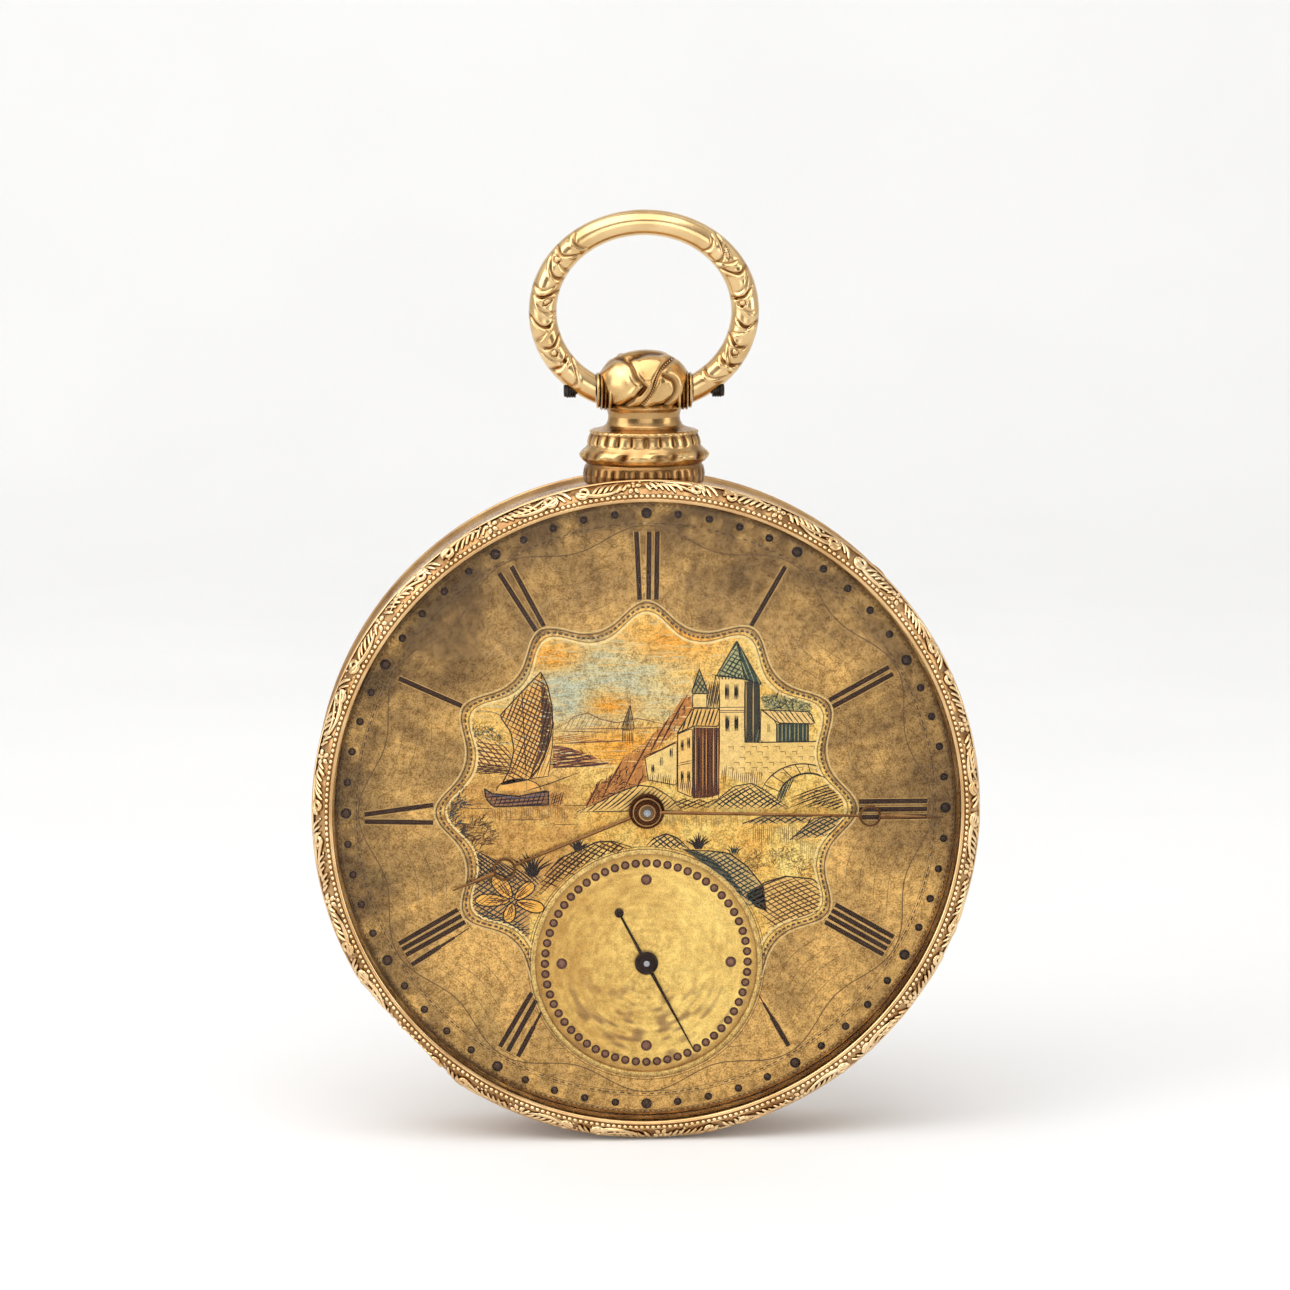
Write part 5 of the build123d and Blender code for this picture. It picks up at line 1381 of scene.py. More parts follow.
def leaf_fan(piece, start, way, count, reach):
    """Short curved ribs that spread from a stem, like acanthus."""
    for k in range(count):
        t = k / max(1, count - 1)
        root = (start + way * 0.42 * k, 0.2 + 0.15 * chance.random())
        bend = (root[0] + way * 0.34, root[1] + reach * 0.55)
        tip = (root[0] + way * (0.75 - 0.3 * t), min(0.98, root[1] + reach * (0.9 - 0.2 * t)))
        path = [root]
        for s in (0.25, 0.5, 0.75, 1.0):
            a, b = (1 - s) ** 2, 2 * s * (1 - s)
            path.append((a * root[0] + b * bend[0] + s * s * tip[0],
                a * root[1] + b * bend[1] + s * s * tip[1]))
        chased(piece, path, chance.uniform(0.11, 0.15), 0.01)


def flower_head(piece, run):
    """Five petals round a boss, with small seeds beside it."""
    for k in range(5):
        a = 2 * math.pi * k / 5 + 0.3
        place_at = on_slope(run + 0.34 * math.cos(a), 0.5 + 0.27 * math.sin(a), 0.0)
        outward = on_slope(run, 0.5, 1.0) - on_slope(run, 0.5, 0.0)
        ahead = on_slope(run + 0.34 * math.cos(a) * 1.5, 0.5 + 0.27 * math.sin(a) * 1.5, 0) - place_at
        ahead = ahead / np.linalg.norm(ahead)
        piece.add(*blob(place_at, ahead, outward / np.linalg.norm(outward), 0.24, 0.17, 0.13, 3, 8))
    outward = on_slope(run, 0.5, 1.0) - on_slope(run, 0.5, 0.0)
    side = np.array([-math.sin(run / 22), math.cos(run / 22), 0])
    piece.add(*blob(on_slope(run, 0.5, 0.03), side, outward, 0.15, 0.13, 0.14, 3, 8))


def chasing():
    """The raised scrolls, leaves and flowers round the bezel."""
    relief = Piece()
    around = 2 * math.pi * 22.0
    units = 14
    pitch = around / units
    for k in range(units):
        start = k * pitch + 1.1
        flip = 1 if k % 2 else -1
        chased(relief, scroll_run(start, 1, flip), 0.18)
        chased(relief, scroll_run(start + 8.6, -1, -flip), 0.18)
        inner = scroll_run(start + 0.6, 1, flip)
        inner[:, 1] = np.clip(inner[:, 1] - flip * 0.22, 0.02, 1.0)
        chased(relief, inner[20:], 0.11)
        flower_head(relief, start + 4.75)
        leaf_fan(relief, start + 1.5, 1, 6, 0.62)
        leaf_fan(relief, start + 7.6, -1, 6, 0.62)
        leaf_fan(relief, start - 0.9, 1, 3, 0.7)
        for _ in range(16):
            run, share = start + chance.uniform(0, 9.4), chance.uniform(0.08, 0.95)
            outward = on_slope(run, share, 1.0) - on_slope(run, share, 0.0)
            side = np.array([-math.sin(run / 22), math.cos(run / 22), 0])
            relief.add(*blob(on_slope(run, share, -0.02), side, outward, 0.1, 0.08, 0.09, 2, 7))
    for k in range(7):
        start = chance.uniform(0, 1) + k * around / 7
        long = chance.uniform(9, 14)
        edge = [(start + long * t, 0.99 - 0.05 * math.sin(9 * t)) for t in np.linspace(0, 1, 60)]
        hook = [(edge[-1][0] + 0.5 * math.sin(t), 0.72 + 0.24 * math.cos(t)) for t in np.linspace(0.2, 4.2,
            14)]
        chased(relief, edge + hook, 0.06, 0.03)
    look = gold("chased_gold", (250, 220, 172), (224, 184, 132), (0.14, 0.26), 0.85, 0.22, (70, 46, 28))
    relief.build("bezel_chasing", "bezel", "case_gold", look, sharp=60)


def bead_ring():
    """The row of beads inside the chasing."""
    beads = Piece()
    count = 356
    for k in range(count):
        a = 360 * k / count
        x, y = polar(BEAD_RING_R, a)
        ahead = (-math.sin(math.radians(a)), math.cos(math.radians(a)), 0)
        beads.add(*blob((x, y, 3.285), ahead, (0, 0, 1), 0.158, 0.135, 0.135, 3, 9))
    look = gold("bead_gold", (255, 232, 188), (236, 204, 152), (0.12, 0.22), 0.9, 0.12, (80, 52, 30))
    beads.build("bezel_beads", "bezel", "case_gold", look, sharp=70)


def watch_glass():
    """The low domed crystal with its ground edge."""
    rise, edge_r = GLASS_HIGH[2] - 3.15, 20.9
    dome = (edge_r**2 + rise**2) / (2 * rise)

    def drop(r):
        return dome - math.sqrt(dome * dome - r * r)

    under_r = math.sqrt(dome * dome - (dome - 0.6) ** 2)
    outline = [(0.02, 3.4)]
    outline += [(r, 3.4 - drop(r)) for r in np.linspace(1, under_r, 16)]
    outline += [(18.5, GLASS_LOW[2]), (21.3, GLASS_LOW[2]), (GLASS_HIGH[0], 2.85), (GLASS_HIGH[0], 2.92)]
    outline += [(21.25, 2.99), (20.98, 3.12)]
    outline += [(r, GLASS_HIGH[2] - drop(r)) for r in np.linspace(edge_r, 1, 30)] + [(0.02, GLASS_HIGH[2])]
    lens = Piece()
    lens.add(*turned(outline, 180, closed=False))
    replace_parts(lens.build("watch_glass", "bezel", "crystal_glass", glass("crystal_look")), "crystal")


# ------------------------------------------------------------------ band
def band_reeding():
    """Fine upright reeding round the channel of the case band, clear of the hinge and the pendant."""
    high, low = BAND_FRONT - 0.78, BAND_BACK + 0.78
    arcs = ((HINGE_DEG + 20, 90 - 12 + 360), (90 + 12, HINGE_DEG - 20))
    reeds = Piece()
    for start, stop in arcs:
        span = math.radians(stop - start)
        steps = int(span * 22 / 0.075)

        def surface(u, v):
            angle = math.radians(start) + u * span
            edge = np.minimum(np.minimum(v, 1 - v) * 8, 1)
            ends = np.clip(np.minimum(u, 1 - u) * 60, 0, 1)
            wave = 0.5 + 0.5 * np.cos(angle * 22 / 0.45 * 2 * np.pi)
            r = 21.98 + 0.17 * np.sqrt(np.clip(edge, 0, 1)) * wave * ends
            return r * np.cos(angle), r * np.sin(angle), low + v * (high - low)

        reeds.add(*sheet(surface, steps, 11, False, False))
    look = gold("band_gold", (206, 164, 104), (160, 116, 68), (0.2, 0.34), 0.7, 0.25, (58, 36, 20))
    reeds.build("band_reeding", "case", "case_gold", look, sharp=50)
    return look


# ------------------------------------------------------------------ pendant and bow
DEPTH = 0.75  # the neck's depth as a share of its width


def round_neck(profile, radial, steps=240, rings=90):
    """A flattened turning about the pendant's upright axis; radial(angle, y) adds relief."""
    r0, y0 = along(profile, np.linspace(0, 1, rings), False)

    def surface(u, v):
        k = np.rint(v * (rings - 1)).astype(int)
        angle, y = u * 2 * np.pi, y0[k]
        relief = radial(angle, y) * (r0[k] > 0.1)
        r = r0[k] + relief
        # Darker where the relief sinks and towards the base by the case: painted shade, with dirt.
        dirt_and_shade = np.clip(0.22 - 7 * relief + 0.35 * np.clip((23.35 - y) / 0.3, 0, 1), 0, 1)
        return r * np.cos(angle), y, MID_Z + r * np.sin(angle) * DEPTH, dirt_and_shade

    return sheet(surface, steps, rings, True, False)


def bump_at(value, centre, width):
    return np.exp(-(((value - centre) / width) ** 2))


def neck_relief(angle, y):
    """Gadroons on the base, a wavy leaf ring, and upright petals on the collar."""
    flute = np.abs(np.cos(angle * 17))
    base = (0.07 * flute - 0.05) * np.clip((y - 21.9) / 0.15, 0, 1) * np.clip((23.0 - y) / 0.15, 0, 1)
    wave = np.sin(angle * 9 + 2.4 * (y - 23.85)) * 0.6 + np.sin(angle * 23 + 1.5 * y) * 0.4
    ring = 0.12 * wave * bump_at(y, 23.8, 0.32)
    foot = np.clip((y - 24.4) / 0.2, 0, 1) * np.clip((25.27 - y) / 0.12, 0, 1)
    petal = np.abs(np.sin(angle * 12))
    arch = np.clip((25.15 - y) / 0.7, 0, 1) ** 0.5
    collar = (0.2 * petal**0.6 * (0.45 + 0.55 * arch) - 0.13) * foot
    lip = 0.05 * np.abs(np.cos(angle * 22)) * bump_at(y, 25.37, 0.08)
    return base + ring + collar + lip


BALL_SIZE = (3.1, 2.2, 2.3)  # half sizes: across, up, deep
BALL_BEAD_LIMIT = 0.93  # beads stop where the line runs over the ball's edge
BALL_LINE = [(2.6, 1.9), (1.58, 1.52), (0.94, 0.88), (0.64, 0.15), (0.26, -0.73), (-0.41, -1.46),
    (-1.49, -1.99)]
BALL_SWIRLS = [
    [(-2.8, 1.1), (-1.93, 1.7), (-1.05, 1.4), (-0.61, 0.53), (-0.12, -0.06), (-0.41, -0.53)],
    [(-2.9, -1.2), (-1.93, -1.6), (-0.76, -0.88), (0.0, -0.15)],
    [(-1.0, 1.7), (0.1, 2.05), (1.3, 2.0)],
    [(1.2, 0.7), (1.9, 0.3), (2.0, -0.5), (1.3, -1.3), (0.2, -1.6)],
]


def curve(points, steps=40):
    """A smooth path through a few points."""
    p = np.asarray(points, float)
    p = np.vstack([2 * p[0] - p[1], p, 2 * p[-1] - p[-2]])
    out = []
    spans = len(p) - 3
    for k in range(steps + 1):
        t = k / steps * spans
        i = min(int(t), spans - 1)
        f = t - i
        a, b, c, d = p[i : i + 4]
        square, cube = 2 * a - 5 * b + 4 * c - d, 3 * b - a - 3 * c + d
        out.append(0.5 * (2 * b + (c - a) * f + square * f**2 + cube * f**3))
    return np.array(out)


def ball_surface(x, y, front, lift):
    """The point of the ball above (x, y), on the side that front (1 or -1) says."""
    wide, tall, deep = BALL_SIZE
    flat = np.clip(1 - (x / wide) ** 2 - (y / tall) ** 2, 0.0, 1)
    out = np.array([x / wide**2, y / tall**2, front * math.sqrt(flat) / deep])
    out /= np.linalg.norm(out) + 1e-9
    point = np.array([x, BALL_MID + y, MID_Z + front * deep * math.sqrt(flat)])
    return point + out * lift, out


BALL_MID = BOW_AXIS_Y + 0.52


def pendant_ball(piece):
    """The ball: grooved panels with an S line of beads on the front and the back."""
    wide, tall, deep = BALL_SIZE
    grooves = [curve(BALL_LINE)] + [curve(s) for s in BALL_SWIRLS]
    nu, nv = 300, 150

    def surface(u, v):
        polar_angle, turn = v * np.pi, u * 2 * np.pi
        x = wide * np.sin(polar_angle) * np.cos(turn)
        y = tall * np.cos(polar_angle)
        z = deep * np.sin(polar_angle) * np.sin(turn)
        flip = np.sign(z) + (z == 0)
        dent = np.zeros_like(x)
        swell = np.zeros_like(x)
        for index, line in enumerate(grooves):
            near = np.full(x.shape, 9.0)
            for px, py in line:
                near = np.minimum(near, np.hypot(x * flip - px, y - py))
            dent += (0.13 if index else 0.16) * np.exp(-((near / 0.13) ** 2))
            swell += 0.07 * np.exp(-(((near - 0.36) / 0.22) ** 2))
        inner = np.clip(np.abs(z) / 0.6, 0, 1)
        size = 1 + (np.minimum(swell, 0.1) - np.minimum(dent, 0.17)) * inner / 2.4
        # The grooves are darkened: painted shade, with dirt.
        return x * size, BALL_MID + y * size, MID_Z + z * size, np.clip(6 * dent * inner, 0, 0.95)

    piece.add(*sheet(surface, nu, nv, True, False))
    line = curve(BALL_LINE, 34)
    for front in (1, -1):
        for x, y in line[1:-1]:
            if (x / BALL_SIZE[0]) ** 2 + (y / BALL_SIZE[1]) ** 2 > BALL_BEAD_LIMIT:
                continue
            centre, out = ball_surface(x * front, y, front, -0.1)
            ahead = np.cross(out, (0, 0, 1.0)) if abs(out[2]) < 0.99 else np.array([1.0, 0, 0])
            ahead /= np.linalg.norm(ahead) + 1e-9
            piece.add(*blob(centre, ahead, out, 0.085, 0.085, 0.09, 3, 8))


def side_bosses(piece):
    """The ribbed ends that the bow turns against."""
    ribs = [(0.4, 3.2), (1.14, 3.2), (1.2, 3.14), (1.2, 3.05), (1.08, 2.99)]
    for at in (2.86, 2.62):
        ribs += [(1.36 - 0.04 * at, at + 0.1), (1.42 - 0.02 * at, at), (1.36 - 0.04 * at, at - 0.1),
            (1.2, at - 0.13)]
    ribs += [(1.46, 2.36), (1.5, 2.26), (1.3, 2.1), (1.1, 1.7)]
    r, x = np.array(ribs).T
    for side in (1, -1):
        def surface(u, v):
            k = np.rint(v * (len(r) - 1)).astype(int)
            angle = u * 2 * np.pi
            # The narrow parts between the ribs are darkened: painted shade, with dirt.
            dirt_and_shade = 0.85 * (r[k] < 1.25) * (k > 3)
            return side * x[k], BOW_AXIS_Y + r[k] * np.cos(angle), MID_Z + r[k] * np.sin(angle), dirt_and_shade

        piece.add(*sheet(surface, 64, len(r), True, False))


def pendant_piece():
    stem = Piece()
    profile = [(0.05, 21.8), (3.9, 21.8), (4.05, 22.0), (4.08, 22.5), (4.0, 23.0), (3.86, 23.2), (4.1, 23.37)]
    profile += [(4.26, 23.6), (4.3, 23.85), (4.18, 24.07), (3.95, 24.25), (3.8, 24.43), (3.74, 24.85),
        (3.66, 25.2)]
    profile += [(3.62, 25.35), (3.5, 25.45), (3.2, 25.51), (2.8, 25.63), (2.56, 25.8), (2.45, 26.05),
        (2.4, 26.35)]
    profile += [(2.44, 26.6), (2.5, 26.75), (2.7, 27.0), (2.4, 27.25)]
    stem.add(*round_neck(profile, neck_relief, 480, 200))
    pendant_ball(stem)
    side_bosses(stem)
    look = gold("pendant_look", (220, 184, 128), (184, 146, 94), (0.18, 0.32), 0.8, 0.35, (76, 50, 26),
        toned=True)
    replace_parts(stem.build("pendant_stem", "case", "pendant_gold", look, sharp=60), "pendant")


WIRE_R = 0.85
BOW_WIDE, BOW_TALL = BOW_HIGH[0] - WIRE_R, 5.95
BOW_MID_Y = BOW_HIGH[1] - WIRE_R - BOW_TALL


def bow_engraving(degrees, facing, seed):
    """How deep the bow is cut at this place: crescents and eyes down the arms, smooth over the top."""
    arms = np.clip((np.abs(degrees - 90) - 36) / 5, 0, 1)
    run = np.abs(degrees - 90) / 180 * math.pi * 6.6
    side = np.sign(degrees - 90)
    cut = np.zeros_like(run)
    at = 4.3
    for k in range(13):
        lean = 0.8 * math.sin(k * 1.7 + seed)
        bow = 0.75 + 0.2 * math.sin(k * 2.1 + seed)
        line = at + bow * (1 - facing**2) - 0.4 + lean * facing * side
        width = 0.1 + 0.05 * (0.5 + 0.5 * math.sin(k * 3.1))
        reach = np.clip((1.0 - np.abs(facing - 0.3 * math.sin(k * 1.9 + seed))) / 0.35, 0, 1)
        cut += (0.09 + 0.04 * math.sin(k * 2.9)) * bump_at(run, line, width) * reach
        cut -= 0.05 * bump_at(run, line + 0.26, 0.15) * reach
        if k % 4 == 1:
            eye = np.hypot(run - line - 0.45, (facing - 0.35 * math.sin(k + seed)) * 0.85)
            cut += 0.1 * bump_at(eye, 0.24, 0.07) - 0.07 * bump_at(eye, 0.0, 0.14)
        at += 0.62 + 0.6 * (0.5 + 0.5 * math.sin(k * 2.3 + seed))
    return cut * arms


def bow_piece():
    """The oval bow, smooth over the top and chased down both arms."""
    end_x = 3.3
    nu, nv = 1500, 72

    def surface(u, v):
        around = v * 2 * np.pi
        first = np.arccos(end_x / BOW_WIDE)
        slant = BOW_TALL * np.cos(first) / np.hypot(BOW_WIDE * np.sin(first), BOW_TALL * np.cos(first))
        last = np.arccos((end_x - slant * WIRE_R * np.sin(around)) / BOW_WIDE)
        a = u * (np.pi + 2 * last) - last
        degrees = np.degrees(a)
        tangent_x, tangent_y = -BOW_WIDE * np.sin(a), BOW_TALL * np.cos(a)
        size = np.hypot(tangent_x, tangent_y)
        out_x, out_y = tangent_y / size, -tangent_x / size
        facing = np.cos(around)
        cut = bow_engraving(degrees, np.sin(around), 0.4) * np.clip(np.abs(facing) * 1.8, 0, 1)
        fuller = 0.1 * bump_at(np.abs(degrees - 90), 95, 60)
        r = WIRE_R * (1 + fuller) - np.clip(cut, -0.06, 0.16)
        x = (BOW_WIDE - WIRE_R * fuller) * np.cos(a) + out_x * r * np.sin(around)
        y = BOW_MID_Y + BOW_TALL * np.sin(a) + out_y * r * np.sin(around)
        # The cuts are darkened: painted shade, with dirt.
        return x, y, MID_Z + r * facing, np.clip(7 * cut, 0, 0.9)

    ring = Piece()
    points, faces = sheet(surface, nu, nv, False, True)
    faces = faces.tolist() + [tuple(range(nv))[::-1], tuple(range((nu - 1) * nv, nu * nv))]
    ring.add(points, faces)
    for face in (1, -1):
        for k in range(36):
            degrees = 4 - k * 1.15
            a = math.radians(degrees)
            side = math.radians(64 - 3.4 * k + 6 * math.sin(k * 0.35))
            size = math.hypot(BOW_WIDE * math.sin(a), BOW_TALL * math.cos(a))
            out = (BOW_TALL * math.cos(a) / size, BOW_WIDE * math.sin(a) / size)
            r = WIRE_R - 0.02
            x = BOW_WIDE * math.cos(a) + out[0] * r * math.sin(side)
            y = BOW_MID_Y + BOW_TALL * math.sin(a) + out[1] * r * math.sin(side)
            away = (out[0] * math.sin(side), out[1] * math.sin(side), face * math.cos(side))
            point = (x, y, MID_Z + face * r * math.cos(side))
            ring.add(*blob(point, (-out[1], out[0], 0), away, 0.075, 0.075, 0.07, 2, 7))
    look = gold("bow_look", (230, 198, 146), (204, 168, 116), (0.15, 0.26), 0.75, 0.3, (90, 60, 30),
        toned=True)
    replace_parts(ring.build("bow_ring", "bow", "pendant_gold", look, sharp=60), "bow")


def bow_screw_piece():
    """Two small dark screws with rough threads, through the ends of the bow."""
    screws = Piece()
    for side in (1, -1):
        profile = [(0.02, 2.75), (0.26, 2.8)]
        for k in range(12):
            at = 2.85 + 0.14 * k
            profile += [(0.3, at), (0.23, at + 0.07)]
        profile += [(0.28, 4.56), (0.42, 4.58)]
        for k in range(4):
            at = 4.62 + 0.17 * k
            profile += [(0.5, at), (0.5, at + 0.04), (0.43, at + 0.09)]
        profile += [(0.44, 5.34), (0.34, 5.39), (0.12, 5.39), (0.1, 5.2), (0.02, 5.2)]
        r, x = np.array(profile).T

        def surface(u, v):
            k = np.rint(v * (len(r) - 1)).astype(int)
            angle = u * 2 * np.pi
            return side * x[k], BOW_AXIS_Y + r[k] * np.cos(angle), MID_Z + r[k] * np.sin(angle)

        screws.add(*sheet(surface, 32, len(r), True, False))
    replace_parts(screws.build("bow_screw_pair", "bow", "blued_steel", iron("screw_iron")), "bow_screws")


# ------------------------------------------------------------------ hands
def ridged(piece, spine, z_low, z_high, roof=0.5):
    """A slim bar whose top is pitched to a ridge; spine holds (x, y, half width) points."""
    spine = np.asarray(spine, float)
    d = np.gradient(spine[:, :2], axis=0)
    d /= np.linalg.norm(d, axis=1, keepdims=True) + 1e-12
    normal = np.stack([-d[:, 1], d[:, 0]], 1)
    points = []
    eave = z_low + (z_high - z_low) * (1 - roof)
    for (x, y, half), n in zip(spine, normal):
        for side, z in ((1, z_low), (1, eave), (0, z_high), (-1, eave), (-1, z_low)):
            points.append((x + n[0] * half * side, y + n[1] * half * side, z))
    faces = []
    for i in range(len(spine) - 1):
        for k in range(5):
            j = (k + 1) % 5
            faces.append((i * 5 + k, i * 5 + j, i * 5 + 5 + j, i * 5 + 5 + k))
    faces += [tuple(range(5))[::-1], tuple(range(len(points) - 5, len(points)))]
    piece.add(points, faces, mix((255, 255, 255), DIRT_AND_SHADE, 0.4))


def turn_points(points, degrees):
    c, s = math.cos(math.radians(degrees)), math.sin(math.radians(degrees))
    return [(x * c - y * s, x * s + y * c, w) for x, y, w in points]


def hub(piece, bore, radius, low, high, steps, at=(0, 0), bright=None):
    """A turned boss: steps are (radius, height share) points of its top, outside to inside.

    It is dark all over, apart from one bright ring when bright gives its radius.
    """
    outline = [(bore, low), (radius - 0.03, low), (radius, low + 0.02), (radius, high - 0.03),
        (radius - 0.03, high)]
    outline += [(r, low + (high - low) * share) for r, share in steps] + [(bore, high)]
    points, faces = turned(outline, 72, at=at)
    r = np.hypot(points[:, 0] - at[0], points[:, 1] - at[1])
    dirt_and_shade = np.where(np.abs(r - bright) < 0.045, 0.0, 0.95) if bright else np.full(len(r), 0.95)
    piece.add(np.c_[points, dirt_and_shade], faces)


def ring_eye(piece, centre, radius, width, low, high):
    """The open ring of a moon hand, rounded on top."""
    outline = []
    for k in range(9):
        a = math.pi * k / 8
        outline.append((radius - width / 2 + width / 2 * math.cos(a),
            low + (high - low) * (0.4 + 0.6 * math.sin(a))))
    outline += [(radius - width, low), (radius, low)]
    piece.add(*turned(outline, 56, at=centre), tone=mix((255, 255, 255), DIRT_AND_SHADE, 0.6))


def moon_hand(name, body, slot, look, box, aim, eye_at, eye_r, length, hub_r, bore, grooves, bright):
    """A slim hand with an open eye near its tip."""
    low, high = box
    hand = Piece()
    shaft = [(hub_r * 0.7 + (eye_at - eye_r - hub_r * 0.7) * t, 0, 0.12 - 0.04 * t) for t in np.linspace(0,
        1, 12)]
    shaft.append((eye_at - eye_r + 0.1, 0, 0.08))
    ridged(hand, turn_points(shaft, aim), low, high, 0.6)
    tip_at = eye_at + eye_r + 0.25
    tip = [(eye_at + eye_r - 0.1, 0, 0.1), (eye_at + eye_r + 0.05, 0, 0.13), (tip_at, 0, 0.2)]
    tip += [(tip_at + 0.3, 0, 0.16), (tip_at + (length - tip_at) * 0.45, 0, 0.1), (length, 0, 0.03)]
    ridged(hand, turn_points(tip, aim), low, high, 0.6)
    ring_eye(hand, polar(eye_at, aim), eye_r, eye_r * 0.21, low, high)
    hub(hand, bore, hub_r, low, high, grooves, bright=bright)
    return hand.build(name, body, slot, look, sharp=25)


def hands():
    bronze = gold("hand_look", (190, 146, 96), (146, 104, 66), (0.24, 0.4), 0.5, 0.15, (34, 22, 16),
        edge=0.02, toned=True)
    dark = gold("seconds_hand_look", (66, 50, 44), (38, 28, 26), (0.24, 0.4), 0.5, 0.2, (20, 14, 12),
        edge=0.02)
    hour_aim = math.degrees(math.atan2(HOUR_TIP[1], HOUR_TIP[0]))
    minute_aim = math.degrees(math.atan2(MINUTE_TIP[1], MINUTE_TIP[0]))
    hour = moon_hand(
        "hour_hand_look", "hour", "hand_bronze", bronze, (HOUR_LOW[2], HOUR_HIGH[2]), hour_aim,
        10.35, 0.78, math.hypot(*HOUR_TIP), 1.2, 0.72, [(1.08, 1.0), (1.04, 0.7), (0.98, 0.7),
            (0.94, 1.0)], None,
    )
    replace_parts(hour, "hour_hand")
    top = MINUTE_LOW[2] + 0.12
    minute = moon_hand(
        "minute_hand_look", "centre", "hand_bronze", bronze, (MINUTE_LOW[2], top), minute_aim,
        15.05, 0.74, math.hypot(*MINUTE_TIP), 0.97, 0.48, [(0.9, 1.0), (0.88, 0.8), (0.84, 0.8),
            (0.82, 1.0)], 0.94,
    )
    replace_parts(minute, "minute_hand")
    collar = Piece()
    hub(collar, 0.48, 0.75, top - 0.01, MINUTE_HIGH[2],
        [(0.66, 1.0), (0.64, 0.75), (0.58, 0.75), (0.56, 1.0)], bright=0.52)
    collar.build("minute_hand_collar", "centre", "hand_bronze", bronze, sharp=25)
    aim = 90 - 152.0
    needle = Piece()
    spine = [(-3.9 + 0.27, 0, 0.07), (-2.0, 0, 0.09), (0, 0, 0.13), (3.0, 0, 0.09), (6.83, 0, 0.03)]
    spine = [(x, y + SUB_Y, w) for x, y, w in turn_points(spine, aim)]
    ridged(needle, spine, SECONDS_LOW[2], SECONDS_HIGH[2], 0.5)
    hub(needle, 0.2, 0.79, SECONDS_LOW[2], SECONDS_HIGH[2],
        [(0.6, 1.0), (0.57, 0.6), (0.5, 0.6), (0.47, 1.0)], (0, SUB_Y))
    x, y = polar(-3.93, aim)
    low, high = SECONDS_LOW[2], SECONDS_HIGH[2]
    outline = [(0.02, low), (0.26, low), (0.31, low + 0.03), (0.3, high - 0.03), (0.22, high), (0.02, high)]
    needle.add(*turned(outline, 36, at=(x, y + SUB_Y)))
    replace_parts(needle.build("seconds_hand_look", "fourth", "hand_bronze", dark, sharp=25), "seconds_hand")


HOUR_TIP = (HOUR_LOW[0], HOUR_LOW[1])
MINUTE_TIP = (MINUTE_HIGH[0], -0.524)


# ------------------------------------------------------------------ back
def back_relief():
    """Engine turning on the outer back: waves round a plain shield, and a rayed border."""
    low = BACK_LOW[2]
    relief = Piece()

    def field(u, v):
        angle, r = u * 2 * np.pi, 5.0 + v * 12.3
        wave = np.sin((r + 0.5 * np.cos(16 * angle)) * 2 * np.pi / 0.82)
        edge = np.clip(np.minimum(v, 1 - v) * 40, 0, 1)
        return r * np.cos(angle), r * np.sin(angle), low + 0.03 - edge * (0.045 + 0.025 * wave)

    relief.add(*sheet(field, 960, 150, True, False))
    for radius, width in ((5.0, 0.14), (5.35, 0.06), (17.35, 0.12), (4.7, 0.06)):
        ring = []
        for k in range(13):
            a = math.pi * k / 12
            ring.append((radius + width * math.cos(a), low + 0.02 - (width * 0.5 + 0.02) * math.sin(a)))
        relief.add(*turned(ring, 240))
    shield = []
    for k in range(64):
        a = 2 * math.pi * k / 64
        r = 3.1 + 0.34 * math.cos(4 * a) + 0.12 * math.cos(8 * a)
        shield.append((r * math.cos(a) * 0.86, r * math.sin(a)))
    for scale in (1.0, 0.9):
        path = [(x * scale, y * scale, low - 0.01) for x, y in shield]
        path.append(path[0])
        relief.add(*swept(path, 0.06 * scale, 6))
    for k in range(16):
        a = math.radians(22.5 * k)
        root, tip = 3.75, 4.5
        ahead = (math.cos(a), math.sin(a), 0)
        at = ((root + tip) / 2 * math.cos(a), (root + tip) / 2 * math.sin(a), low + 0.01)
        relief.add(*blob(at, ahead, (0, 0, -1), 0.36, 0.16, 0.09, 3, 8))
    look = gold("back_relief_gold", (214, 172, 112), (176, 130, 78), (0.18, 0.3), 0.7, 0.2, (60, 38, 22))
    relief.build("back_engine_turning", "back", "case_gold", look, sharp=60)


def cuvette_rings():
    """Turned lines round the dust cover's middle and its two key holes."""
    low = -5.55
    rings = Piece()
    for at, radius in ((None, 19.4), (None, 18.9), ((0, 0), 1.85), (BARREL_AT, 1.85), ((0, 0), 2.15),
        (BARREL_AT, 2.15)):
        ring = []
        for k in range(9):
            a = math.pi * k / 8
            ring.append((radius + 0.09 * math.cos(a), low + 0.01 - 0.06 * math.sin(a)))
        rings.add(*turned(ring, 160, at=at or (0, 0)))
    look = gold("cuvette_ring_gold", (218, 180, 120), (186, 142, 86), (0.16, 0.28), 0.6, 0.2, (60, 38, 22))
    rings.build("cuvette_rings", "cuvette", "case_gold", look, sharp=60)


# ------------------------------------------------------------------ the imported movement's own looks
def centre_of(node):
    low, high = bench_box(node)
    return ((low[0] + high[0]) / 2, (low[1] + high[1]) / 2, 0)


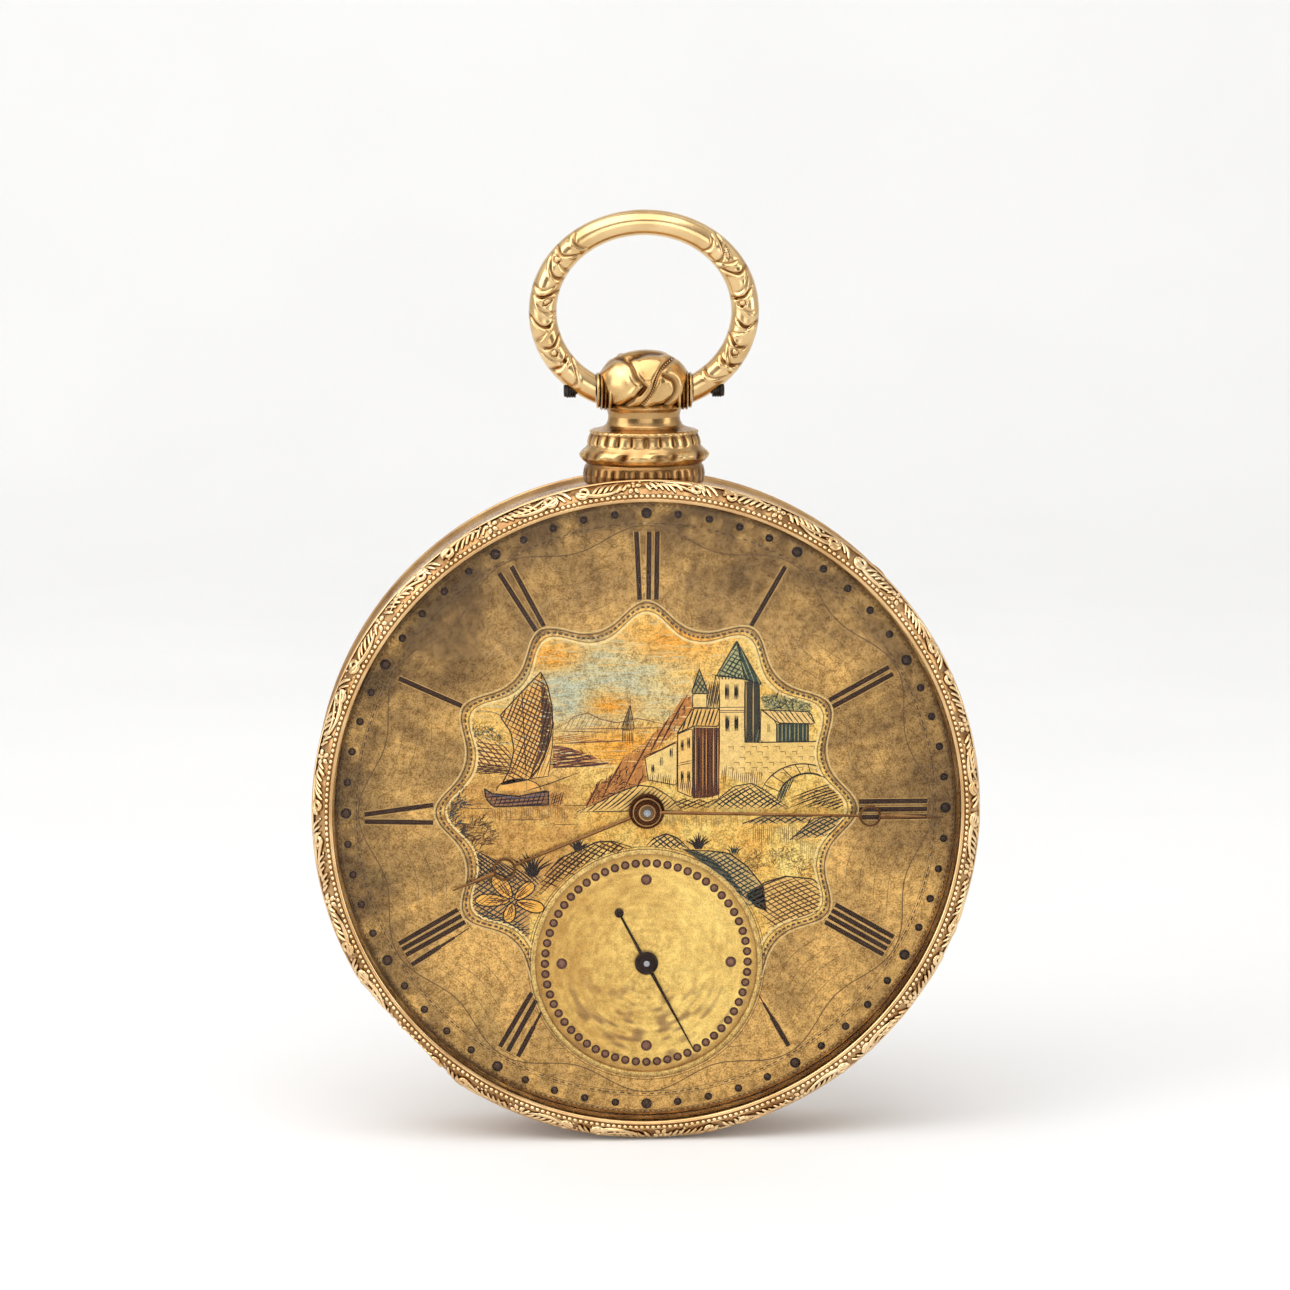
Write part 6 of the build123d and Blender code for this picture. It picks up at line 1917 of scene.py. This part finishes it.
BARREL_AT = centre_of("barrel")[:2]
BRASS, DARK_BRASS = (220, 178, 96), (184, 140, 66)
GROUPS = {
    "gilt": "main_plate barrel_bridge centre_bridge third_bridge fourth_bridge escape_bridge pallet_bridge "
    "balance_cock",
    "wheel": (
        "barrel barrel_cover centre_wheel third_wheel fourth_wheel hour_wheel minute_wheel balance_wheel"
    ),
    "brass": "dial_foot_pins hairspring_stud",
    "blued": "bridge_screws click_screws case_screws hairspring mainspring",
    "ruby": "jewels pallet_stones",
    "hub": "cannon_pinion",
    "polished": "balance_cap setting_arbor centre_arbor balance_staff roller minute_wheel_post "
    "third_arbor fourth_arbor escape_arbor pallet_arbor barrel_arbor",
    "ground": "escape_wheel click pallet_fork regulator click_spring bezel_hinge_pin back_hinge_pin "
    "cuvette_hinge_pin",
}


def dress_movement():
    looks = {
        "gilt": gilt("gilt_plates", (226, 182, 104), (196, 150, 78)),
        "brass": gold("small_brass", BRASS, DARK_BRASS, (0.2, 0.34), 0.5, 0.15),
        "blued": blued("blued_springs"),
        "ruby": ruby("ruby_jewels"),
        "hub": gold("hub_look", (112, 86, 56), (78, 58, 40), (0.26, 0.4), 0.5, 0.15, (34, 24, 16), edge=0.02),
        "polished": steel("polished_steel", rough=0.14),
        "ground": steel("ground_steel", (168, 168, 172), (122, 122, 128), 0.26),
    }
    for group, members in GROUPS.items():
        for name in members.split():
            if group == "wheel":
                look = circled("grain_" + name, centre_of(name), BRASS, DARK_BRASS)
            else:
                look = looks[group]
            dress(name, look)
    dress("ratchet_wheel", circled("ratchet_steel", centre_of("ratchet_wheel"), (182, 182, 186),
        (128, 128, 134)))
    dress("cuvette", circled("cuvette_gold", (0, 0, 0), (214, 172, 112), (184, 140, 86), 0.16, 0.2))
    dress("back_cover", gold("back_gold", (212, 170, 112), (190, 148, 94), (0.16, 0.28), 0.6, 0.3, edge=0.06))


def dress(name, look):
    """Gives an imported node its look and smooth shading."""
    node = nodes[name]
    node.data.materials.clear()
    node.data.materials.append(look)
    node.data.polygons.foreach_set("use_smooth", np.ones(len(node.data.polygons), bool))
    node.data.set_sharp_from_angle(angle=math.radians(30))


# ------------------------------------------------------------------ stage, light and camera
def studio_surface():
    """Matt white paper, near white wherever the lights reach it and clear when seen from behind."""
    s = Shader("studio_paper")
    tone = s.colours(s.spread(s.noise(40, 2), 0.3, 0.7), (233, 233, 233), (236, 236, 236))
    s.skin_set(Base_Color=tone, Roughness=0.9, Normal=s.bump(s.noise(0.6, 3), 0.01, 0.2))
    behind = s.node("ShaderNodeNewGeometry").outputs["Backfacing"]
    seen = s.node("ShaderNodeLightPath").outputs["Is Camera Ray"]
    alpha = s.math("SUBTRACT", 1.0, s.math("MULTIPLY", behind, seen))
    s.skin_set(Emission_Color=(1, 0.995, 0.99, 1), Emission_Strength=0.05, Alpha=alpha)
    return s.material


def stage_sweep():
    """The floor, curved up into a backdrop, with the watch standing on its rim."""
    floor_y, depth, bend, tall, half = BAND_FLOOR, 260.0, 160.0, 900.0, 900.0
    path = [(-900.0, floor_y), (-300.0, floor_y), (0.0, floor_y), (depth, floor_y)]
    for k in range(1, 17):
        a = math.radians(90 * k / 16)
        path.append((depth + bend * math.sin(a), floor_y + bend * (1 - math.cos(a))))
    path.append((depth + bend, floor_y + tall))
    points, faces = [], []
    for x in (-half, half):
        points += [(x, y, -back) for back, y in path]
    n = len(path)
    for i in range(n - 1):
        faces.append((n + i, n + i + 1, i + 1, i))
    mesh = bpy.data.meshes.new("studio_sweep")
    mesh.from_pydata(place(points).tolist(), [], faces)
    mesh.polygons.foreach_set("use_smooth", np.ones(len(mesh.polygons), bool))
    mesh.materials.append(studio_surface())
    sweep_piece = bpy.data.objects.new("studio_sweep", mesh)
    bpy.context.scene.collection.objects.link(sweep_piece)


BAND_FLOOR = BEZEL_LOW[1]


def softbox(name, at, aim, size, power, colour=(1, 1, 1)):
    """A rectangular soft light; at and aim are bench points in millimetres."""
    lamp = bpy.data.lights.new(name, "AREA")
    lamp.shape = "RECTANGLE"
    lamp.size, lamp.size_y = size[0] * MM, size[1] * MM
    lamp.energy = power
    lamp.color = colour
    holder = bpy.data.objects.new(name, lamp)
    bpy.context.scene.collection.objects.link(holder)
    start, end = Vector(place([at])[0]), Vector(place([aim])[0])
    holder.location = start
    holder.rotation_euler = (end - start).to_track_quat("-Z", "Y").to_euler()


def lights():
    softbox("soft_top", (-70, 340, 150), (0, 0, 0), (460, 360), 1.0)
    softbox("soft_left", (-330, 130, 200), (0, 0, 0), (220, 360), 0.6)
    softbox("soft_right", (320, 40, 160), (0, 0, 0), (120, 300), 0.3)
    softbox("soft_front", (40, 60, 520), (0, 0, 0), (260, 260), 0.42)
    softbox("soft_backdrop", (0, 360, -140), (0, 120, -420), (700, 120), 0.3)


def surroundings():
    """Light from all round: white for the paper, and a dim room with pale walls for the metal to mirror."""
    world = bpy.data.worlds.new("studio_room")
    bpy.context.scene.world = world
    world.use_nodes = True
    tree = world.node_tree
    make, link = tree.nodes.new, tree.links.new
    where = make("ShaderNodeTexCoord")
    axes = make("ShaderNodeSeparateXYZ")
    link(where.outputs["Generated"], axes.inputs[0])

    def ramp(value, low, high, to_low, to_high):
        node = make("ShaderNodeMapRange")
        node.interpolation_type = "SMOOTHSTEP"
        link(value, node.inputs[0])
        for index, number in enumerate((low, high, to_low, to_high), 1):
            node.inputs[index].default_value = number
        return node.outputs[0]

    def add(a, b):
        node = make("ShaderNodeMath")
        link(a, node.inputs[0])
        link(b, node.inputs[1])
        return node.outputs[0]

    above = ramp(axes.outputs["Z"], 0.1, 0.75, 0.2, 0.74)
    leftward = ramp(axes.outputs["X"], -0.95, -0.3, 0.5, 0.0)
    rightward = ramp(axes.outputs["X"], 0.5, 0.95, 0.0, 0.45)
    room = add(add(above, leftward), rightward)
    rays = make("ShaderNodeLightPath")
    chosen = make("ShaderNodeMix")
    chosen.data_type = "FLOAT"
    link(rays.outputs["Is Glossy Ray"], chosen.inputs[0])
    chosen.inputs[2].default_value = 0.56
    link(room, chosen.inputs[3])
    ground = tree.nodes["Background"]
    ground.inputs["Color"].default_value = (1, 0.99, 0.975, 1)
    link(chosen.outputs[0], ground.inputs["Strength"])


def viewpoint():
    """A long lens a little above the hands' axis."""
    lens = bpy.data.cameras.new("camera")
    lens.sensor_width, lens.lens = 36.0, 165.8
    lens.clip_start, lens.clip_end = 0.01, 10.0
    camera = bpy.data.objects.new("camera", lens)
    bpy.context.scene.collection.objects.link(camera)
    camera.location = (-0.02068, -0.39453, 0.07354)
    aim = Vector((0.0, 0.0, 0.01097)) - camera.location
    camera.rotation_euler = aim.to_track_quat("-Z", "Y").to_euler()
    bpy.context.scene.camera = camera


dial()
bezel_ring()
chasing()
bead_ring()
watch_glass()
dress("case_band", band_reeding())
pendant_piece()
bow_piece()
bow_screw_piece()
hands()
back_relief()
cuvette_rings()
dress_movement()
stage_sweep()
lights()
surroundings()
viewpoint()
bpy.context.scene.view_settings.view_transform = "Standard"
